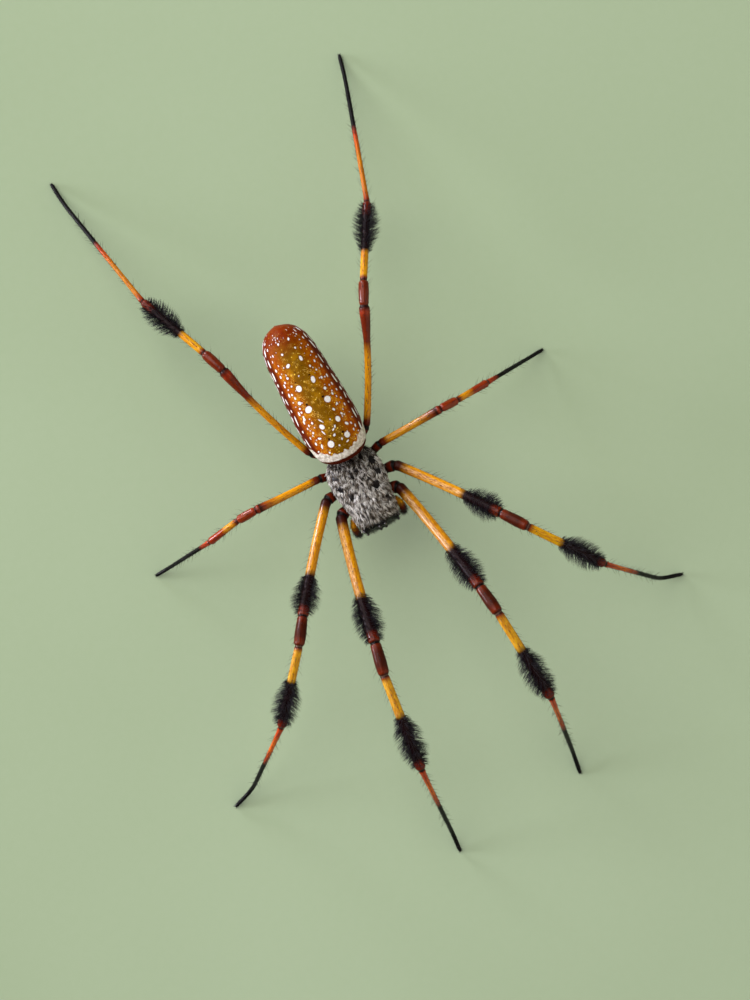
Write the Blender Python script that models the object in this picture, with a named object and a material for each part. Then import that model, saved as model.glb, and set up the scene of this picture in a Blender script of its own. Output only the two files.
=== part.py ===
# Golden silk orb weaver, a still model at life size with its legs spread and its hair brushes standing out.
# The head points to -Y, the spider's left is +X, and all eight feet rest on small flats at z = 0.
# The named sizes below are in mm, and each mesh is made in metres.
import math
import random

import bmesh
import bpy
import numpy as np
from mathutils import Vector
from mathutils.bvhtree import BVHTree

MM = 0.001
GAP = 0.3          # between touching nodes
TUBE_SIDES = 8
SEED = 41
SHARP_ANGLE = 50   # degrees

# Lengths of femur, patella, tibia, metatarsus and tarsus in each pair of legs
LEG_LENGTHS = {
    1: (17.0, 4.0, 12.2, 16.4, 3.1),
    2: (15.3, 3.8, 10.7, 14.8, 3.2),
    3: (8.6, 2.5, 4.9, 8.9, 2.4),
    4: (14.6, 3.1, 10.5, 16.9, 3.0),
}

# Where each femur starts, with the headings of its leg's five segments, degrees outwards from straight
# ahead, and their pitches, degrees upwards
LEG_POSES = {
    ("right", 1): ((-3.97, -5.80, 9.5), (12.6, 12.1, 6.5, 3.1, 5.3), (23.5, 8.6, -7.0, -56.5, -27.1)),
    ("left", 1): ((3.91, -5.89, 9.5), (10.7, 7.0, 4.1, -4.4, -8.4), (25.7, 21.7, -11.7, -61.5, -22.7)),
    ("right", 2): ((-4.58, -3.29, 9.5), (39.3, 34.9, 40.4, 52.8, 71.7), (22.8, 23.4, -20.6, -53.1, -18.0)),
    ("left", 2): ((4.76, -3.36, 9.5), (37.1, 34.8, 36.3, 46.8, 74.2), (25.3, 21.6, -16.4, -59.2, -25.3)),
    ("right", 3): ((-4.20, -0.59, 9.4), (91.5, 88.3, 80.8, 86.3, 87.4), (11.2, -13.2, -28.5, -47.7, -31.0)),
    ("left", 3): ((4.38, -0.24, 9.4), (91.5, 89.6, 92.5, 93.2, 93.4), (15.0, -28.6, -29.2, -46.5, -31.4)),
    ("right", 4): ((-3.67, 2.57, 9.3), (161.7, 160.4, 158.0, 168.8, 175.8), (8.6, -11.2, -21, -20.8, -16)),
    ("left", 4): ((3.88, 2.35, 9.3), (153.2, 153.2, 149.5, 161.9, 166.3), (10.2, -12.9, -23.2, -19.9, -20.1)),
}

# Radii: femur, its collar, patella, tibia, start and middle of the metatarsus, tarsus
LEG_RADII = {
    1: (0.68, 0.76, 0.78, 0.58, 0.39, 0.30, 0.28),
    2: (0.61, 0.70, 0.74, 0.53, 0.37, 0.29, 0.27),
    3: (0.48, 0.56, 0.60, 0.43, 0.34, 0.27, 0.25),
    4: (0.44, 0.68, 0.68, 0.48, 0.35, 0.30, 0.27),
}

# How far the femora and metatarsi bow from their chords, outwards or upwards
FEMUR_BOW_OUT = {1: 0.2, 2: 0.15, 3: 0.05, 4: 0.32}
FEMUR_BOW_UP = 0.3
PATELLA_BOW_UP = 0.08
TIBIA_BOW_UP = 0.15
COXA_BOW_DOWN = 0.1
METATARSUS_BOW_UP = {1: 1.0, 2: 0.9, 3: 0.5, 4: 0.3}

# Where the coxae leave the core: places along Y and their height, half width, and height over width
COXA_ROOT_Y = {1: -4.75, 2: -3.05, 3: -1.35, 4: 0.25}
COXA_ROOT_Z = 8.6
COXA_RADIUS = 0.68
COXA_TALL = 1.35

# Brushes of stiff hair, as the shares of their segment where the roots of the hair start and end
BRUSHES = {
    (1, "femur"): (0.64, 0.95),
    (1, "tibia"): (0.45, 0.94),
    (2, "femur"): (0.68, 0.95),
    (2, "tibia"): (0.43, 0.94),
    (4, "tibia"): (0.38, 0.93),
}
LOCK_STEP = 1.0           # between whorls of locks along a leg
LOCKS_ROUND = 5           # locks in a whorl
LOCK_LENGTH = 1.6         # from the skin to the tip
LOCK_WIDTH = 0.36         # half the width at the root
LOCK_THICKNESS = 0.25     # half the thickness at the root
LOCK_LEAN = 56.0          # degrees out from the leg at the root
LOCK_CURL = 26.0          # degrees that a lock has bent back towards the leg by its tip
LOCK_SINK = 0.3           # how far a root is sunk below the skin
LOCK_TRIALS = 4           # how often a lock may be shortened to clear the next node
LOCK_SHORTENING = 0.85
LOCK_PLACE_DRAW = 0.15    # random shift along the leg, as a share of a step
LOCK_TURN_DRAW = 0.1      # random turn round the leg, as a share of the space between locks
LOCK_LEAN_DRAW = 6.0      # random change of lean, degrees
LOCK_SIZE_DRAW = 0.12     # random change of size, as a share
LOCK_SHARES = (0.0, 0.4, 0.72, 1.0)     # places of its rings and tip along a lock
LOCK_WIDTHS = (1.0, 1.05, 0.66, 0.1)    # its width there, as a share of the root's

# The core under the carapace, with the sternum as its lower face: places along Y and half widths
CORE_OUTLINE = ((-7.05, 0.8), (-6.8, 1.0), (-6.0, 1.2), (-5.2, 1.45), (-3.6, 1.5), (-2.2, 1.45),
                (-0.6, 1.15), (0.4, 0.8), (0.75, 0.5))
CORE_BOTTOM = 7.3
CORE_EDGE = 0.5           # height of the rounding at the sternum's edge
CORE_TAPER = 0.72         # width of the sternum's flat middle, as a share
CARAPACE_BASE = 10.35

# The carapace: places along Y, half widths and heights of the top
CARAPACE = (
    (0.55, 2.1, 10.85), (0.25, 2.75, 11.15), (-0.5, 3.15, 11.7), (-1.5, 3.38, 12.25), (-2.6, 3.44, 12.4),
    (-3.8, 3.3, 12.45), (-5.0, 3.0, 12.75), (-6.2, 2.85, 13.0), (-7.3, 2.75, 12.95), (-8.2, 2.55, 12.6),
    (-8.75, 2.3, 12.1), (-9.05, 1.95, 11.7),
)
CARAPACE_SIDES = 13
CARAPACE_FULLNESS = (0.85, 0.8)   # powers that square the dome's section, across and up

# The abdomen: places along Y, half widths, half heights and heights of the middle
ABDOMEN = (
    (0.1, 1.3, 1.0, 12.9), (0.35, 2.3, 1.7, 12.6), (0.95, 3.0, 2.45, 12.25), (2.0, 3.45, 3.0, 12.0),
    (3.6, 3.7, 3.4, 11.8), (6.0, 3.75, 3.5, 11.65), (9.0, 3.6, 3.45, 11.5), (12.0, 3.4, 3.3, 11.35),
    (14.2, 3.25, 3.15, 11.25), (15.8, 2.9, 2.85, 11.2), (16.9, 2.3, 2.3, 11.2), (17.5, 1.6, 1.65, 11.25),
    (17.85, 0.75, 0.8, 11.3),
)
ABDOMEN_SIDES = 16
ABDOMEN_LEAN = 0.42       # how far the front leans forward for each mm of height
ABDOMEN_LEAN_END = 5.0    # where along Y the lean has faded out
ABDOMEN_MIDDLE = 0.1      # how far the front sits to the left
ABDOMEN_SWAY = -0.35      # how far the rear bends to the right

# Mouthparts of the left side: paths and radii
CHELICERA_PATH = ((1.08, -8.15, 10.05), (1.1, -8.35, 9.4), (1.1, -8.5, 8.5), (1.05, -8.6, 7.7),
                  (1.0, -8.6, 7.2))
CHELICERA_RADII = (0.8, 0.92, 0.92, 0.78, 0.55)
FANG_PATH = ((0.98, -8.7, 6.9), (0.96, -8.62, 6.5), (0.82, -8.2, 6.3), (0.6, -7.6, 6.4))
FANG_RADII = (0.3, 0.3, 0.26, 0.1)
PALP_PATH = ((1.32, -6.85, 8.7), (2.2, -6.85, 8.85), (2.85, -7.05, 9.15), (3.18, -7.65, 9.25),
             (3.16, -8.3, 9.0), (3.08, -8.75, 8.3), (2.9, -8.85, 7.5))
PALP_RADII = (0.36, 0.4, 0.42, 0.42, 0.4, 0.36, 0.2)

# Eyes: a point near each left one, the way it looks, and its radius
EYES = {
    "front_middle": ((0.36, -9.1, 11.1), (0.1, -1.0, 0.1), 0.2),
    "back_middle": ((0.36, -8.8, 12.0), (0.1, -0.8, 1.0), 0.2),
    "front_side": ((1.85, -8.95, 10.85), (0.5, -1.0, 0.0), 0.18),
    "back_side": ((2.1, -8.7, 11.3), (0.8, -0.7, 0.5), 0.18),
}

PEDICEL_START = (0.0, 1.08, 9.1)
PEDICEL_AIM = (0.0, 0.75, 0.65)
PEDICEL_RADIUS = 0.5

# Spinnerets: the middle of the group along Y, its radius and base, and the size and lean of its cones
SPINNERETS_Y = 15.0
SPINNERETS_RADIUS = 0.62
SPINNERET_BASE = 0.5
SPINNERET_COUNT = 6
SPINNERET_SIDES = 6
SPINNERET_RADIUS = 0.34
SPINNERET_LENGTH = 1.0
SPINNERET_LEAN = 0.55

# Colour, roughness and metallic value of each finish
FINISHES = {
    "orange": ((0.60, 0.26, 0.06), 0.42, 0.0),
    "yellow": ((0.78, 0.36, 0.02), 0.4, 0.0),
    "maroon": ((0.10, 0.02, 0.015), 0.4, 0.0),
    "red": ((0.30, 0.05, 0.015), 0.4, 0.0),
    "silver": ((0.42, 0.38, 0.34), 0.6, 0.0),
    "ochre": ((0.36, 0.16, 0.02), 0.45, 0.0),
    "black": ((0.012, 0.010, 0.010), 0.25, 0.0),
}


def unit(vector):
    vector = np.asarray(vector, dtype=float)
    return vector / np.linalg.norm(vector)


def finish_for(node, look):
    colour, roughness, metallic = FINISHES[look]
    finish = bpy.data.materials.new(node + "_" + look)
    finish.use_nodes = True
    shader = finish.node_tree.nodes["Principled BSDF"]
    shader.inputs["Base Color"].default_value = (*colour, 1.0)
    shader.inputs["Roughness"].default_value = roughness
    shader.inputs["Metallic"].default_value = metallic
    return finish


# A closed mesh from rings of points, mm: quads from ring to ring, flat ends, or a point at the last end
def ring_mesh(name, rings, tip=None):
    rings = np.asarray(rings)
    count, sides = rings.shape[:2]
    points = [Vector(point) * MM for ring in rings for point in ring]
    faces = [tuple(reversed(range(sides)))]
    for ring in range(count - 1):
        for side in range(sides):
            following = (side + 1) % sides
            low = ring * sides
            high = low + sides
            faces.append((low + side, low + following, high + following, high + side))
    last = (count - 1) * sides
    if tip is None:
        faces.append(tuple(range(last, last + sides)))
    else:
        points.append(Vector(tip) * MM)
        for side in range(sides):
            faces.append((last + side, last + (side + 1) % sides, len(points) - 1))
    mesh = bpy.data.meshes.new(name)
    mesh.from_pydata(points, [], faces)
    shape = bmesh.new()
    shape.from_mesh(mesh)
    bmesh.ops.recalc_face_normals(shape, faces=shape.faces)
    shape.to_mesh(mesh)
    shape.free()
    return mesh


def add_node(name, mesh, look):
    node = bpy.data.objects.new(name, mesh)
    bpy.context.scene.collection.objects.link(node)
    mesh.materials.clear()
    mesh.materials.append(finish_for(name, look))
    for face in mesh.polygons:
        face.use_smooth = True
    mesh.set_sharp_from_angle(angle=math.radians(SHARP_ANGLE))
    node.parent = frame
    return node


# Rings round a path: each is a circle across the path, slid along it into the plane of its normal
def sweep(path, radii, sides=TUBE_SIDES, first=None, last=None, up=(0, 0, 1), tall=1.0, turn=0.5):
    path = np.asarray(path, dtype=float)
    steps = np.diff(path, axis=0)
    steps /= np.linalg.norm(steps, axis=1)[:, None]
    tangents = np.vstack([steps[:1], steps[:-1] + steps[1:], steps[-1:]])
    tangents /= np.linalg.norm(tangents, axis=1)[:, None]
    normals = tangents.copy()
    if first is not None:
        normals[0] = unit(first)
    if last is not None:
        normals[-1] = unit(last)
    talls = np.broadcast_to(tall, len(path))
    angles = (np.arange(sides) + turn) * 2 * math.pi / sides
    rings = []
    for centre, tangent, normal, radius, stretch in zip(path, tangents, normals, radii, talls):
        across = unit(np.cross(tangent, up))
        upwards = np.cross(across, tangent)
        ring = radius * (np.cos(angles)[:, None] * across + stretch * np.sin(angles)[:, None] * upwards)
        ring -= np.outer(ring @ normal / (tangent @ normal), tangent)
        rings.append(centre + ring)
    return np.array(rings)


# The joints of one leg, from the start of its femur to its tip, by adding up its segments
def leg_joints(side, pair):
    start, headings, pitches = LEG_POSES[side, pair]
    outwards = 1 if side == "left" else -1
    joints = [np.array(start)]
    for length, heading, pitch in zip(LEG_LENGTHS[pair], np.radians(headings), np.radians(pitches)):
        step = np.array((outwards * math.sin(heading) * math.cos(pitch),
                         -math.cos(heading) * math.cos(pitch), math.sin(pitch)))
        joints.append(joints[-1] + length * step)
    return joints


# A parabola's height over a chord, 0 at both ends and 1 in the middle
def arch(share):
    return 4 * share * (1 - share)


def bowed_path(start, end, shares, bow):
    shares = np.asarray(shares)[:, None]
    return start + (end - start) * shares + arch(shares) * np.asarray(bow)


# Half the width of the core at a place along Y
def core_half_width(y):
    places, widths = zip(*CORE_OUTLINE)
    return float(np.interp(y, places, widths))


def core_side_normal(y, outwards):
    slope = (core_half_width(y + 0.4) - core_half_width(y - 0.4)) / 0.8
    return unit((outwards, -slope, 0.0))


# The middle line of one lock: it leans out from the leg, then bends back along it towards its tip
def lock_path(root, outwards, along, length, lean):
    path = [root - outwards * LOCK_SINK]
    for low, high in zip(LOCK_SHARES[:-1], LOCK_SHARES[1:]):
        angle = math.radians(lean - LOCK_CURL * (low + high) / 2)
        step = outwards * math.sin(angle) + along * math.cos(angle)
        path.append(path[-1] + step * (high - low) * (length + LOCK_SINK))
    return np.array(path)


# A lock is flat and tapered: wide across the leg, thin in the other direction
def lock_mesh(path, outwards, size):
    rings = sweep(path, [LOCK_WIDTH * size * share for share in LOCK_WIDTHS], sides=4, up=outwards,
                  tall=LOCK_THICKNESS / LOCK_WIDTH, turn=0)
    return ring_mesh("lock", rings[:-1], tip=path[-1])


# The shortest distance from any of some points to a bent line
def distance_to_path(points, path):
    nearest = []
    for start, end in zip(path[:-1], path[1:]):
        line = end - start
        shares = np.clip((points - start) @ line / (line @ line), 0, 1)
        nearest.append(np.linalg.norm(points - start - shares[:, None] * line, axis=1).min())
    return min(nearest)


# The locks of one brush, in staggered whorls round a segment, each shortened until it clears the next node
def brush_locks(shares, path, radii, brush, next_path, next_radius, draw):
    along = unit(path[-1] - path[0])
    across = unit(np.cross(along, (0, 0, 1)))
    upwards = np.cross(across, along)
    length = np.linalg.norm(path[-1] - path[0])
    whorls = round((brush[1] - brush[0]) * length / LOCK_STEP)
    locks = []
    for whorl in range(whorls):
        for number in range(LOCKS_ROUND):
            place = whorl + 0.5 + draw.uniform(-LOCK_PLACE_DRAW, LOCK_PLACE_DRAW)
            share = brush[0] + (brush[1] - brush[0]) * place / whorls
            middle = np.array([np.interp(share, shares, path[:, axis]) for axis in range(3)])
            turn = number + 0.5 * (whorl % 2) + draw.uniform(-LOCK_TURN_DRAW, LOCK_TURN_DRAW)
            angle = 2 * math.pi * turn / LOCKS_ROUND
            outwards = math.cos(angle) * across + math.sin(angle) * upwards
            root = middle + outwards * np.interp(share, shares, radii)
            lean = LOCK_LEAN + draw.uniform(-LOCK_LEAN_DRAW, LOCK_LEAN_DRAW)
            size = 1 + draw.uniform(-LOCK_SIZE_DRAW, LOCK_SIZE_DRAW)
            for trial in range(LOCK_TRIALS):
                line = lock_path(root, outwards, along, LOCK_LENGTH * size, lean)
                room = distance_to_path(line[1:], next_path) - next_radius
                if room > GAP + LOCK_THICKNESS:
                    locks.append(lock_mesh(line, outwards, size))
                    break
                size *= LOCK_SHORTENING
    return locks


# Keeps only a mesh's largest closed surface
def keep_largest_surface(mesh):
    shape = bmesh.new()
    shape.from_mesh(mesh)
    unseen = set(shape.verts)
    surfaces = []
    while unseen:
        found = {unseen.pop()}
        edge_of_search = list(found)
        while edge_of_search:
            for link in edge_of_search.pop().link_edges:
                for point in link.verts:
                    if point in unseen:
                        unseen.discard(point)
                        found.add(point)
                        edge_of_search.append(point)
        surfaces.append(found)
    surfaces.sort(key=len, reverse=True)
    scraps = [point for surface in surfaces[1:] for point in surface]
    bmesh.ops.delete(shape, geom=scraps, context="VERTS")
    shape.to_mesh(mesh)
    shape.free()


# One mesh from a closed mesh and the closed meshes that are rooted in it
def union_mesh(name, body, additions, solver="EXACT"):
    base = bpy.data.objects.new(name + "_base", body)
    bpy.context.scene.collection.objects.link(base)
    group = bpy.data.collections.new(name + "_pieces")
    bpy.context.scene.collection.children.link(group)
    for piece in additions:
        group.objects.link(bpy.data.objects.new("piece", piece))
    join = base.modifiers.new("join", "BOOLEAN")
    join.operation = "UNION"
    join.operand_type = "COLLECTION"
    join.collection = group
    join.solver = solver
    graph = bpy.context.evaluated_depsgraph_get()
    joined = bpy.data.meshes.new_from_object(base.evaluated_get(graph))
    joined.name = name
    for piece in list(group.objects) + [base]:
        bpy.data.objects.remove(piece)
    bpy.data.collections.remove(group)
    keep_largest_surface(joined)
    return joined


def leg_segment(side, pair, name, path, radii, look, first, last, tall=1.0):
    rings = sweep(path, radii, first=first, last=last, tall=tall)
    rings[:, :, 2] = np.maximum(rings[:, :, 2], 0.0)
    node_name = f"leg_{side}_{pair}_{name}"
    return node_name, ring_mesh(node_name, rings), look


# A segment with its brush, if it has one, joined to it
def brushed(segment, side, pair, shares, path, radii, next_path, next_radius):
    name, mesh, look = segment
    kind = name.rsplit("_", 1)[1]
    if (pair, kind) in BRUSHES:
        draw = random.Random(f"{SEED} {name}")
        locks = brush_locks(shares, path, radii, BRUSHES[pair, kind], next_path, next_radius, draw)
        mesh = union_mesh(name, mesh, locks)
    return name, mesh, look


# Where a coxa starts beside the core, with the core's outward normal there
def coxa_start(side, pair):
    outwards = 1 if side == "left" else -1
    root_y = COXA_ROOT_Y[pair]
    normal = core_side_normal(root_y, outwards)
    return np.array((outwards * core_half_width(root_y), root_y, COXA_ROOT_Z)) + normal * GAP, normal


# The coxa with its trochanter, from the core's side out to the femur
def coxa(side, pair, start, first_step):
    root, normal = coxa_start(side, pair)
    direction = unit(start - root)
    miter = unit(direction + first_step)
    end = start - direction * (GAP / 2) / (direction @ miter)
    shares = np.array((0.0, 0.3, 0.58, 0.72, 0.86, 1.0))
    collar = LEG_RADII[pair][0] * 1.12
    radii = (COXA_RADIUS, COXA_RADIUS * 1.05, COXA_RADIUS * 1.05, collar * 0.92, collar * 1.08, collar * 0.95)
    tall = (COXA_TALL, COXA_TALL, 1.15, 1.0, 1.0, 1.0)
    path = bowed_path(root, end, shares, (0, 0, -COXA_BOW_DOWN))
    return leg_segment(side, pair, "coxa", path, radii, "maroon", normal, miter, tall)


# All of one leg's nodes
def leg_nodes(side, pair):
    femur, collar, patella, tibia, metatarsus, metatarsus_middle, tarsus = LEG_RADII[pair]
    joints = leg_joints(side, pair)
    steps = [unit(end - start) for start, end in zip(joints[:-1], joints[1:])]
    outwards = unit(np.cross(steps[0], (0, 0, 1)))
    if (outwards[0] > 0) != (side == "left"):
        outwards = -outwards
    coxa_root, coxa_normal = coxa_start(side, pair)
    miters = [unit(unit(joints[0] - coxa_root) + steps[0])]
    miters += [unit(before + after) for before, after in zip(steps[:-1], steps[1:])]
    starts = [joint + step * (GAP / 2) / (step @ miter)
              for joint, step, miter in zip(joints[:-1], steps, miters)]
    ends = [joint - step * (GAP / 2) / (step @ miter)
            for joint, step, miter in zip(joints[1:-1], steps[:-1], miters[1:])]
    yield coxa(side, pair, joints[0], steps[0])

    patella_shares = (0.0, 0.25, 0.6, 0.85, 1.0)
    patella_radii = [patella * share for share in (0.82, 0.93, 1.0, 0.94, 0.78)]
    patella_path = bowed_path(starts[1], ends[1], patella_shares, (0, 0, PATELLA_BOW_UP))
    yield leg_segment(side, pair, "patella", patella_path, patella_radii, "red", miters[1], miters[2])

    shares = (0.0, 0.05, 0.28, 0.5, 0.72, 0.93, 0.97, 1.0)
    radii = (femur * 0.98, femur * 1.05, femur, femur, femur * 1.03, collar, collar, collar * 0.88)
    bow = outwards * FEMUR_BOW_OUT[pair] + np.array((0, 0, FEMUR_BOW_UP))
    path = bowed_path(starts[0], ends[0], shares, bow)
    segment = leg_segment(side, pair, "femur", path, radii, "orange", miters[0], miters[1])
    yield brushed(segment, side, pair, shares, path, radii, patella_path, patella)

    shares = (0.0, 0.06, 0.25, 0.5, 0.75, 1.0)
    upper = bowed_path(starts[3], joints[4], shares, (0, 0, METATARSUS_BOW_UP[pair]))
    lower = bowed_path(joints[4], joints[5], (0.5, 0.9, 1.0), (0, 0, 0))
    foot_path = np.vstack([upper, lower])
    foot_radii = (metatarsus * 0.88, metatarsus, metatarsus_middle * 1.08, metatarsus_middle,
                  metatarsus_middle * 0.94, tarsus, tarsus, tarsus * 0.95, tarsus * 0.6)
    yield leg_segment(side, pair, "metatarsus", foot_path, foot_radii, "orange", miters[3], None)

    shares = (0.0, 0.08, 0.35, 0.65, 0.94, 1.0)
    radii = [tibia * share for share in (0.9, 1.0, 1.02, 1.1, 1.18, 1.02)]
    path = bowed_path(starts[2], ends[2], shares, (0, 0, TIBIA_BOW_UP))
    segment = leg_segment(side, pair, "tibia", path, radii, "yellow", miters[2], miters[3])
    yield brushed(segment, side, pair, shares, path, radii, foot_path, metatarsus)


# The core: a slab with the outline of the sternum, slightly domed below
def core_mesh():
    places, widths = zip(*CORE_OUTLINE)
    outline = [(width, place) for place, width in zip(places, widths)]
    outline += [(-width, place) for width, place in reversed(outline)]
    levels = ((CARAPACE_BASE - GAP, 1.0), (CORE_BOTTOM + CORE_EDGE, 1.0), (CORE_BOTTOM, CORE_TAPER))
    middle = sum(places) / len(places)
    rings = [[(x * share, middle + (y - middle) * share, level) for x, y in outline]
             for level, share in levels]
    return ring_mesh("sternum", rings)


# The carapace: flat below and domed above, narrower at the head
def carapace_mesh():
    angles = np.linspace(0, math.pi, CARAPACE_SIDES)
    rings = []
    for place, width, top in CARAPACE:
        across = width * np.sign(np.cos(angles)) * np.abs(np.cos(angles)) ** CARAPACE_FULLNESS[0]
        height = CARAPACE_BASE + (top - CARAPACE_BASE) * np.abs(np.sin(angles)) ** CARAPACE_FULLNESS[1]
        rings.append(np.column_stack([across, np.full(CARAPACE_SIDES, place), height]))
    return ring_mesh("carapace", rings)


# The abdomen: a long, nearly round body whose front leans forward over the carapace
def abdomen_mesh():
    angles = (np.arange(ABDOMEN_SIDES) + 0.5) * 2 * math.pi / ABDOMEN_SIDES
    length = ABDOMEN[-1][0]
    rings = []
    for place, width, height, middle in ABDOMEN:
        lean = ABDOMEN_LEAN * max(0.0, 1 - place / ABDOMEN_LEAN_END)
        sway = ABDOMEN_MIDDLE + ABDOMEN_SWAY * (place / length) ** 1.3
        rise = height * np.sin(angles)
        rings.append(np.column_stack([sway + width * np.cos(angles), place - lean * rise, middle + rise]))
    return ring_mesh("abdomen", rings)


def mirrored(points, side):
    points = np.array(points, dtype=float)
    if side == "right":
        points[..., 0] *= -1
    return points


# An eye: a small dome that stands on the carapace where a ray towards it lands
def eye_mesh(name, target, point, look, radius):
    look = unit(look)
    hit, normal, face, distance = target.ray_cast(Vector(point + look * 2) * MM, Vector(-look))
    base = np.array(hit) / MM + np.array(normal) * GAP
    normal = np.array(normal)
    path = [base, base + normal * radius * 0.45, base + normal * radius * 0.8]
    rings = sweep(path, (radius * 0.95, radius, radius * 0.7), up=(0.3, 0.1, 0.9))
    return ring_mesh(name, rings, tip=base + normal * radius)


# The spinnerets: six short cones round a disc that lies along the underside of the abdomen
def spinneret_mesh(target):
    hit, normal, face, distance = target.ray_cast(Vector((0.0, SPINNERETS_Y, 0.0)) * MM, Vector((0, 0, 1)))
    normal = np.array(normal)
    base = np.array(hit) / MM + normal * GAP
    forward = (0, 1, 0)
    disc_radii = (SPINNERETS_RADIUS * 1.5, SPINNERETS_RADIUS * 1.25)
    disc = ring_mesh("spinnerets_disc", sweep([base, base + normal * SPINNERET_BASE], disc_radii, up=forward))
    across = unit(np.cross(normal, forward))
    along = np.cross(across, normal)
    cones = []
    for number in range(SPINNERET_COUNT):
        angle = (number + 0.5) * 2 * math.pi / SPINNERET_COUNT
        spread = math.cos(angle) * across + math.sin(angle) * along
        root = base + normal * SPINNERET_BASE * 0.4 + spread * SPINNERETS_RADIUS * 0.75
        axis = unit(normal + np.array((0, SPINNERET_LEAN, 0)) - spread * 0.15)
        path = [root, root + axis * SPINNERET_LENGTH * 0.65]
        rings = sweep(path, (SPINNERET_RADIUS, SPINNERET_RADIUS * 0.8), sides=SPINNERET_SIDES, up=forward)
        cones.append(ring_mesh("spinneret", rings, tip=root + axis * SPINNERET_LENGTH))
    return union_mesh("spinnerets", disc, cones)


# The pedicel, from the core's rear up to the front of the abdomen
def pedicel_mesh(target):
    start = np.array(PEDICEL_START)
    aim = unit(PEDICEL_AIM)
    hit, normal, face, distance = target.ray_cast(Vector(start) * MM, Vector(aim))
    normal = np.array(normal)
    end = np.array(hit) / MM - aim * GAP / abs(aim @ normal)
    radii = (PEDICEL_RADIUS, PEDICEL_RADIUS * 0.85, PEDICEL_RADIUS)
    rings = sweep([start, (start + end) / 2, end], radii, first=(0, 1, 0), last=-normal, up=(1, 0, 0))
    return ring_mesh("pedicel", rings)


# A tube of the head along a path given for the left side
def head_tube(name, side, path, radii, first, last=None, up=(0, 0, 1)):
    name = f"{name}_{side}"
    return name, ring_mesh(name, sweep(mirrored(path, side), radii, first=first, last=last, up=up))


# Start from an empty scene
for thing in list(bpy.data.objects):
    bpy.data.objects.remove(thing)

frame = bpy.data.objects.new("frame", None)
bpy.context.scene.collection.objects.link(frame)

# Body
carapace = add_node("carapace", carapace_mesh(), "silver")
abdomen = add_node("abdomen", abdomen_mesh(), "ochre")
graph = bpy.context.evaluated_depsgraph_get()
carapace_tree = BVHTree.FromObject(carapace, graph)
abdomen_tree = BVHTree.FromObject(abdomen, graph)
add_node("sternum", core_mesh(), "maroon")
add_node("spinnerets", spinneret_mesh(abdomen_tree), "maroon")
add_node("pedicel", pedicel_mesh(abdomen_tree), "maroon")

# Head and legs, one side at a time
down = (0, 0, -1)
for side in ("left", "right"):
    palp_normal = mirrored(core_side_normal(PALP_PATH[0][1], 1), side)
    add_node(*head_tube("chelicera", side, CHELICERA_PATH, CHELICERA_RADII, down, down, (0, 1, 0)), "black")
    add_node(*head_tube("fang", side, FANG_PATH, FANG_RADII, down, up=(1, 0, 0)), "black")
    add_node(*head_tube("pedipalp", side, PALP_PATH, PALP_RADII, palp_normal), "orange")
    for eye, (point, look, radius) in EYES.items():
        name = f"eye_{side}_{eye}"
        eye_dome = eye_mesh(name, carapace_tree, mirrored(point, side), mirrored(look, side), radius)
        add_node(name, eye_dome, "black")
    for pair in LEG_LENGTHS:
        for name, mesh, look in leg_nodes(side, pair):
            add_node(name, mesh, look)

# The origin goes under the middle of the whole part's box
corners = np.array([Vector(corner) for node in bpy.data.objects if node.type == "MESH"
                    for corner in node.bound_box])
low = corners.min(axis=0)
high = corners.max(axis=0)
frame.location = (-(low[0] + high[0]) / 2, -(low[1] + high[1]) / 2, -low[2])
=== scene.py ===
import math

import bpy
import numpy as np
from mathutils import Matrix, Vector


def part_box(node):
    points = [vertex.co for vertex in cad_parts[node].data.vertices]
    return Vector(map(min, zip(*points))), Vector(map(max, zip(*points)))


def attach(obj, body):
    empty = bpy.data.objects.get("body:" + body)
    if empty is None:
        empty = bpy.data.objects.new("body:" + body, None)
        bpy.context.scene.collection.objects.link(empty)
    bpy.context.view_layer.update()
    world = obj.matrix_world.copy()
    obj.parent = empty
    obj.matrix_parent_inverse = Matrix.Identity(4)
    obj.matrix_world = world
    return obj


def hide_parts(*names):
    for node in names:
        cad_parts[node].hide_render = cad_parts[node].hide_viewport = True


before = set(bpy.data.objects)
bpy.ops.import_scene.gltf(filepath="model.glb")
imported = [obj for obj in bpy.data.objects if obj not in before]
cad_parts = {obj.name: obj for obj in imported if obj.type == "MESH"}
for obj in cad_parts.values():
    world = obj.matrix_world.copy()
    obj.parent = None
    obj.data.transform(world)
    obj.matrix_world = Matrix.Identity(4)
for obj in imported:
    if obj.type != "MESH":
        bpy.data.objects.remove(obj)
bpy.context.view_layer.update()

# A golden silk orb weaver, looked at from straight above. Sizes are in mm in the body's own axes: the head
# points to -Y and the spider's left is +X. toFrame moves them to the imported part's place, where the floor is
# at z = 0, which is floorZ in the body's axes
mm = 0.001
carapaceLow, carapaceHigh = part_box("carapace")
bodyShift = np.array(((carapaceLow.x + carapaceHigh.x) / 2 / mm,
                      (carapaceLow.y + carapaceHigh.y) / 2 / mm + 4.25,
                      carapaceLow.z / mm - 10.35))
floorZ = -bodyShift[2]
seed = 20
sideSigns = {"left": 1, "right": -1}


def toFrame(points):
    return (np.asarray(points, dtype=float) + bodyShift) * mm


# Vectors divided by their lengths
def unit(vectors):
    vectors = np.asarray(vectors, dtype=float)
    return vectors / np.maximum(np.linalg.norm(vectors, axis=-1, keepdims=True), 1e-9)


# Points of the left side as they are, for the right side with x turned over
def mirrored(points, side):
    points = np.array(points, dtype=float)
    points[..., 0] *= sideSigns[side]
    return points


# A parabola over a chord: 0 at both ends, 1 in the middle
def arch(share):
    return 4 * share * (1 - share)


# 0 below low, 1 above high, with a soft S between them
def ease(values, low, high):
    share = np.clip((values - low) / (high - low), 0, 1)
    return share * share * (3 - 2 * share)


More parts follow.
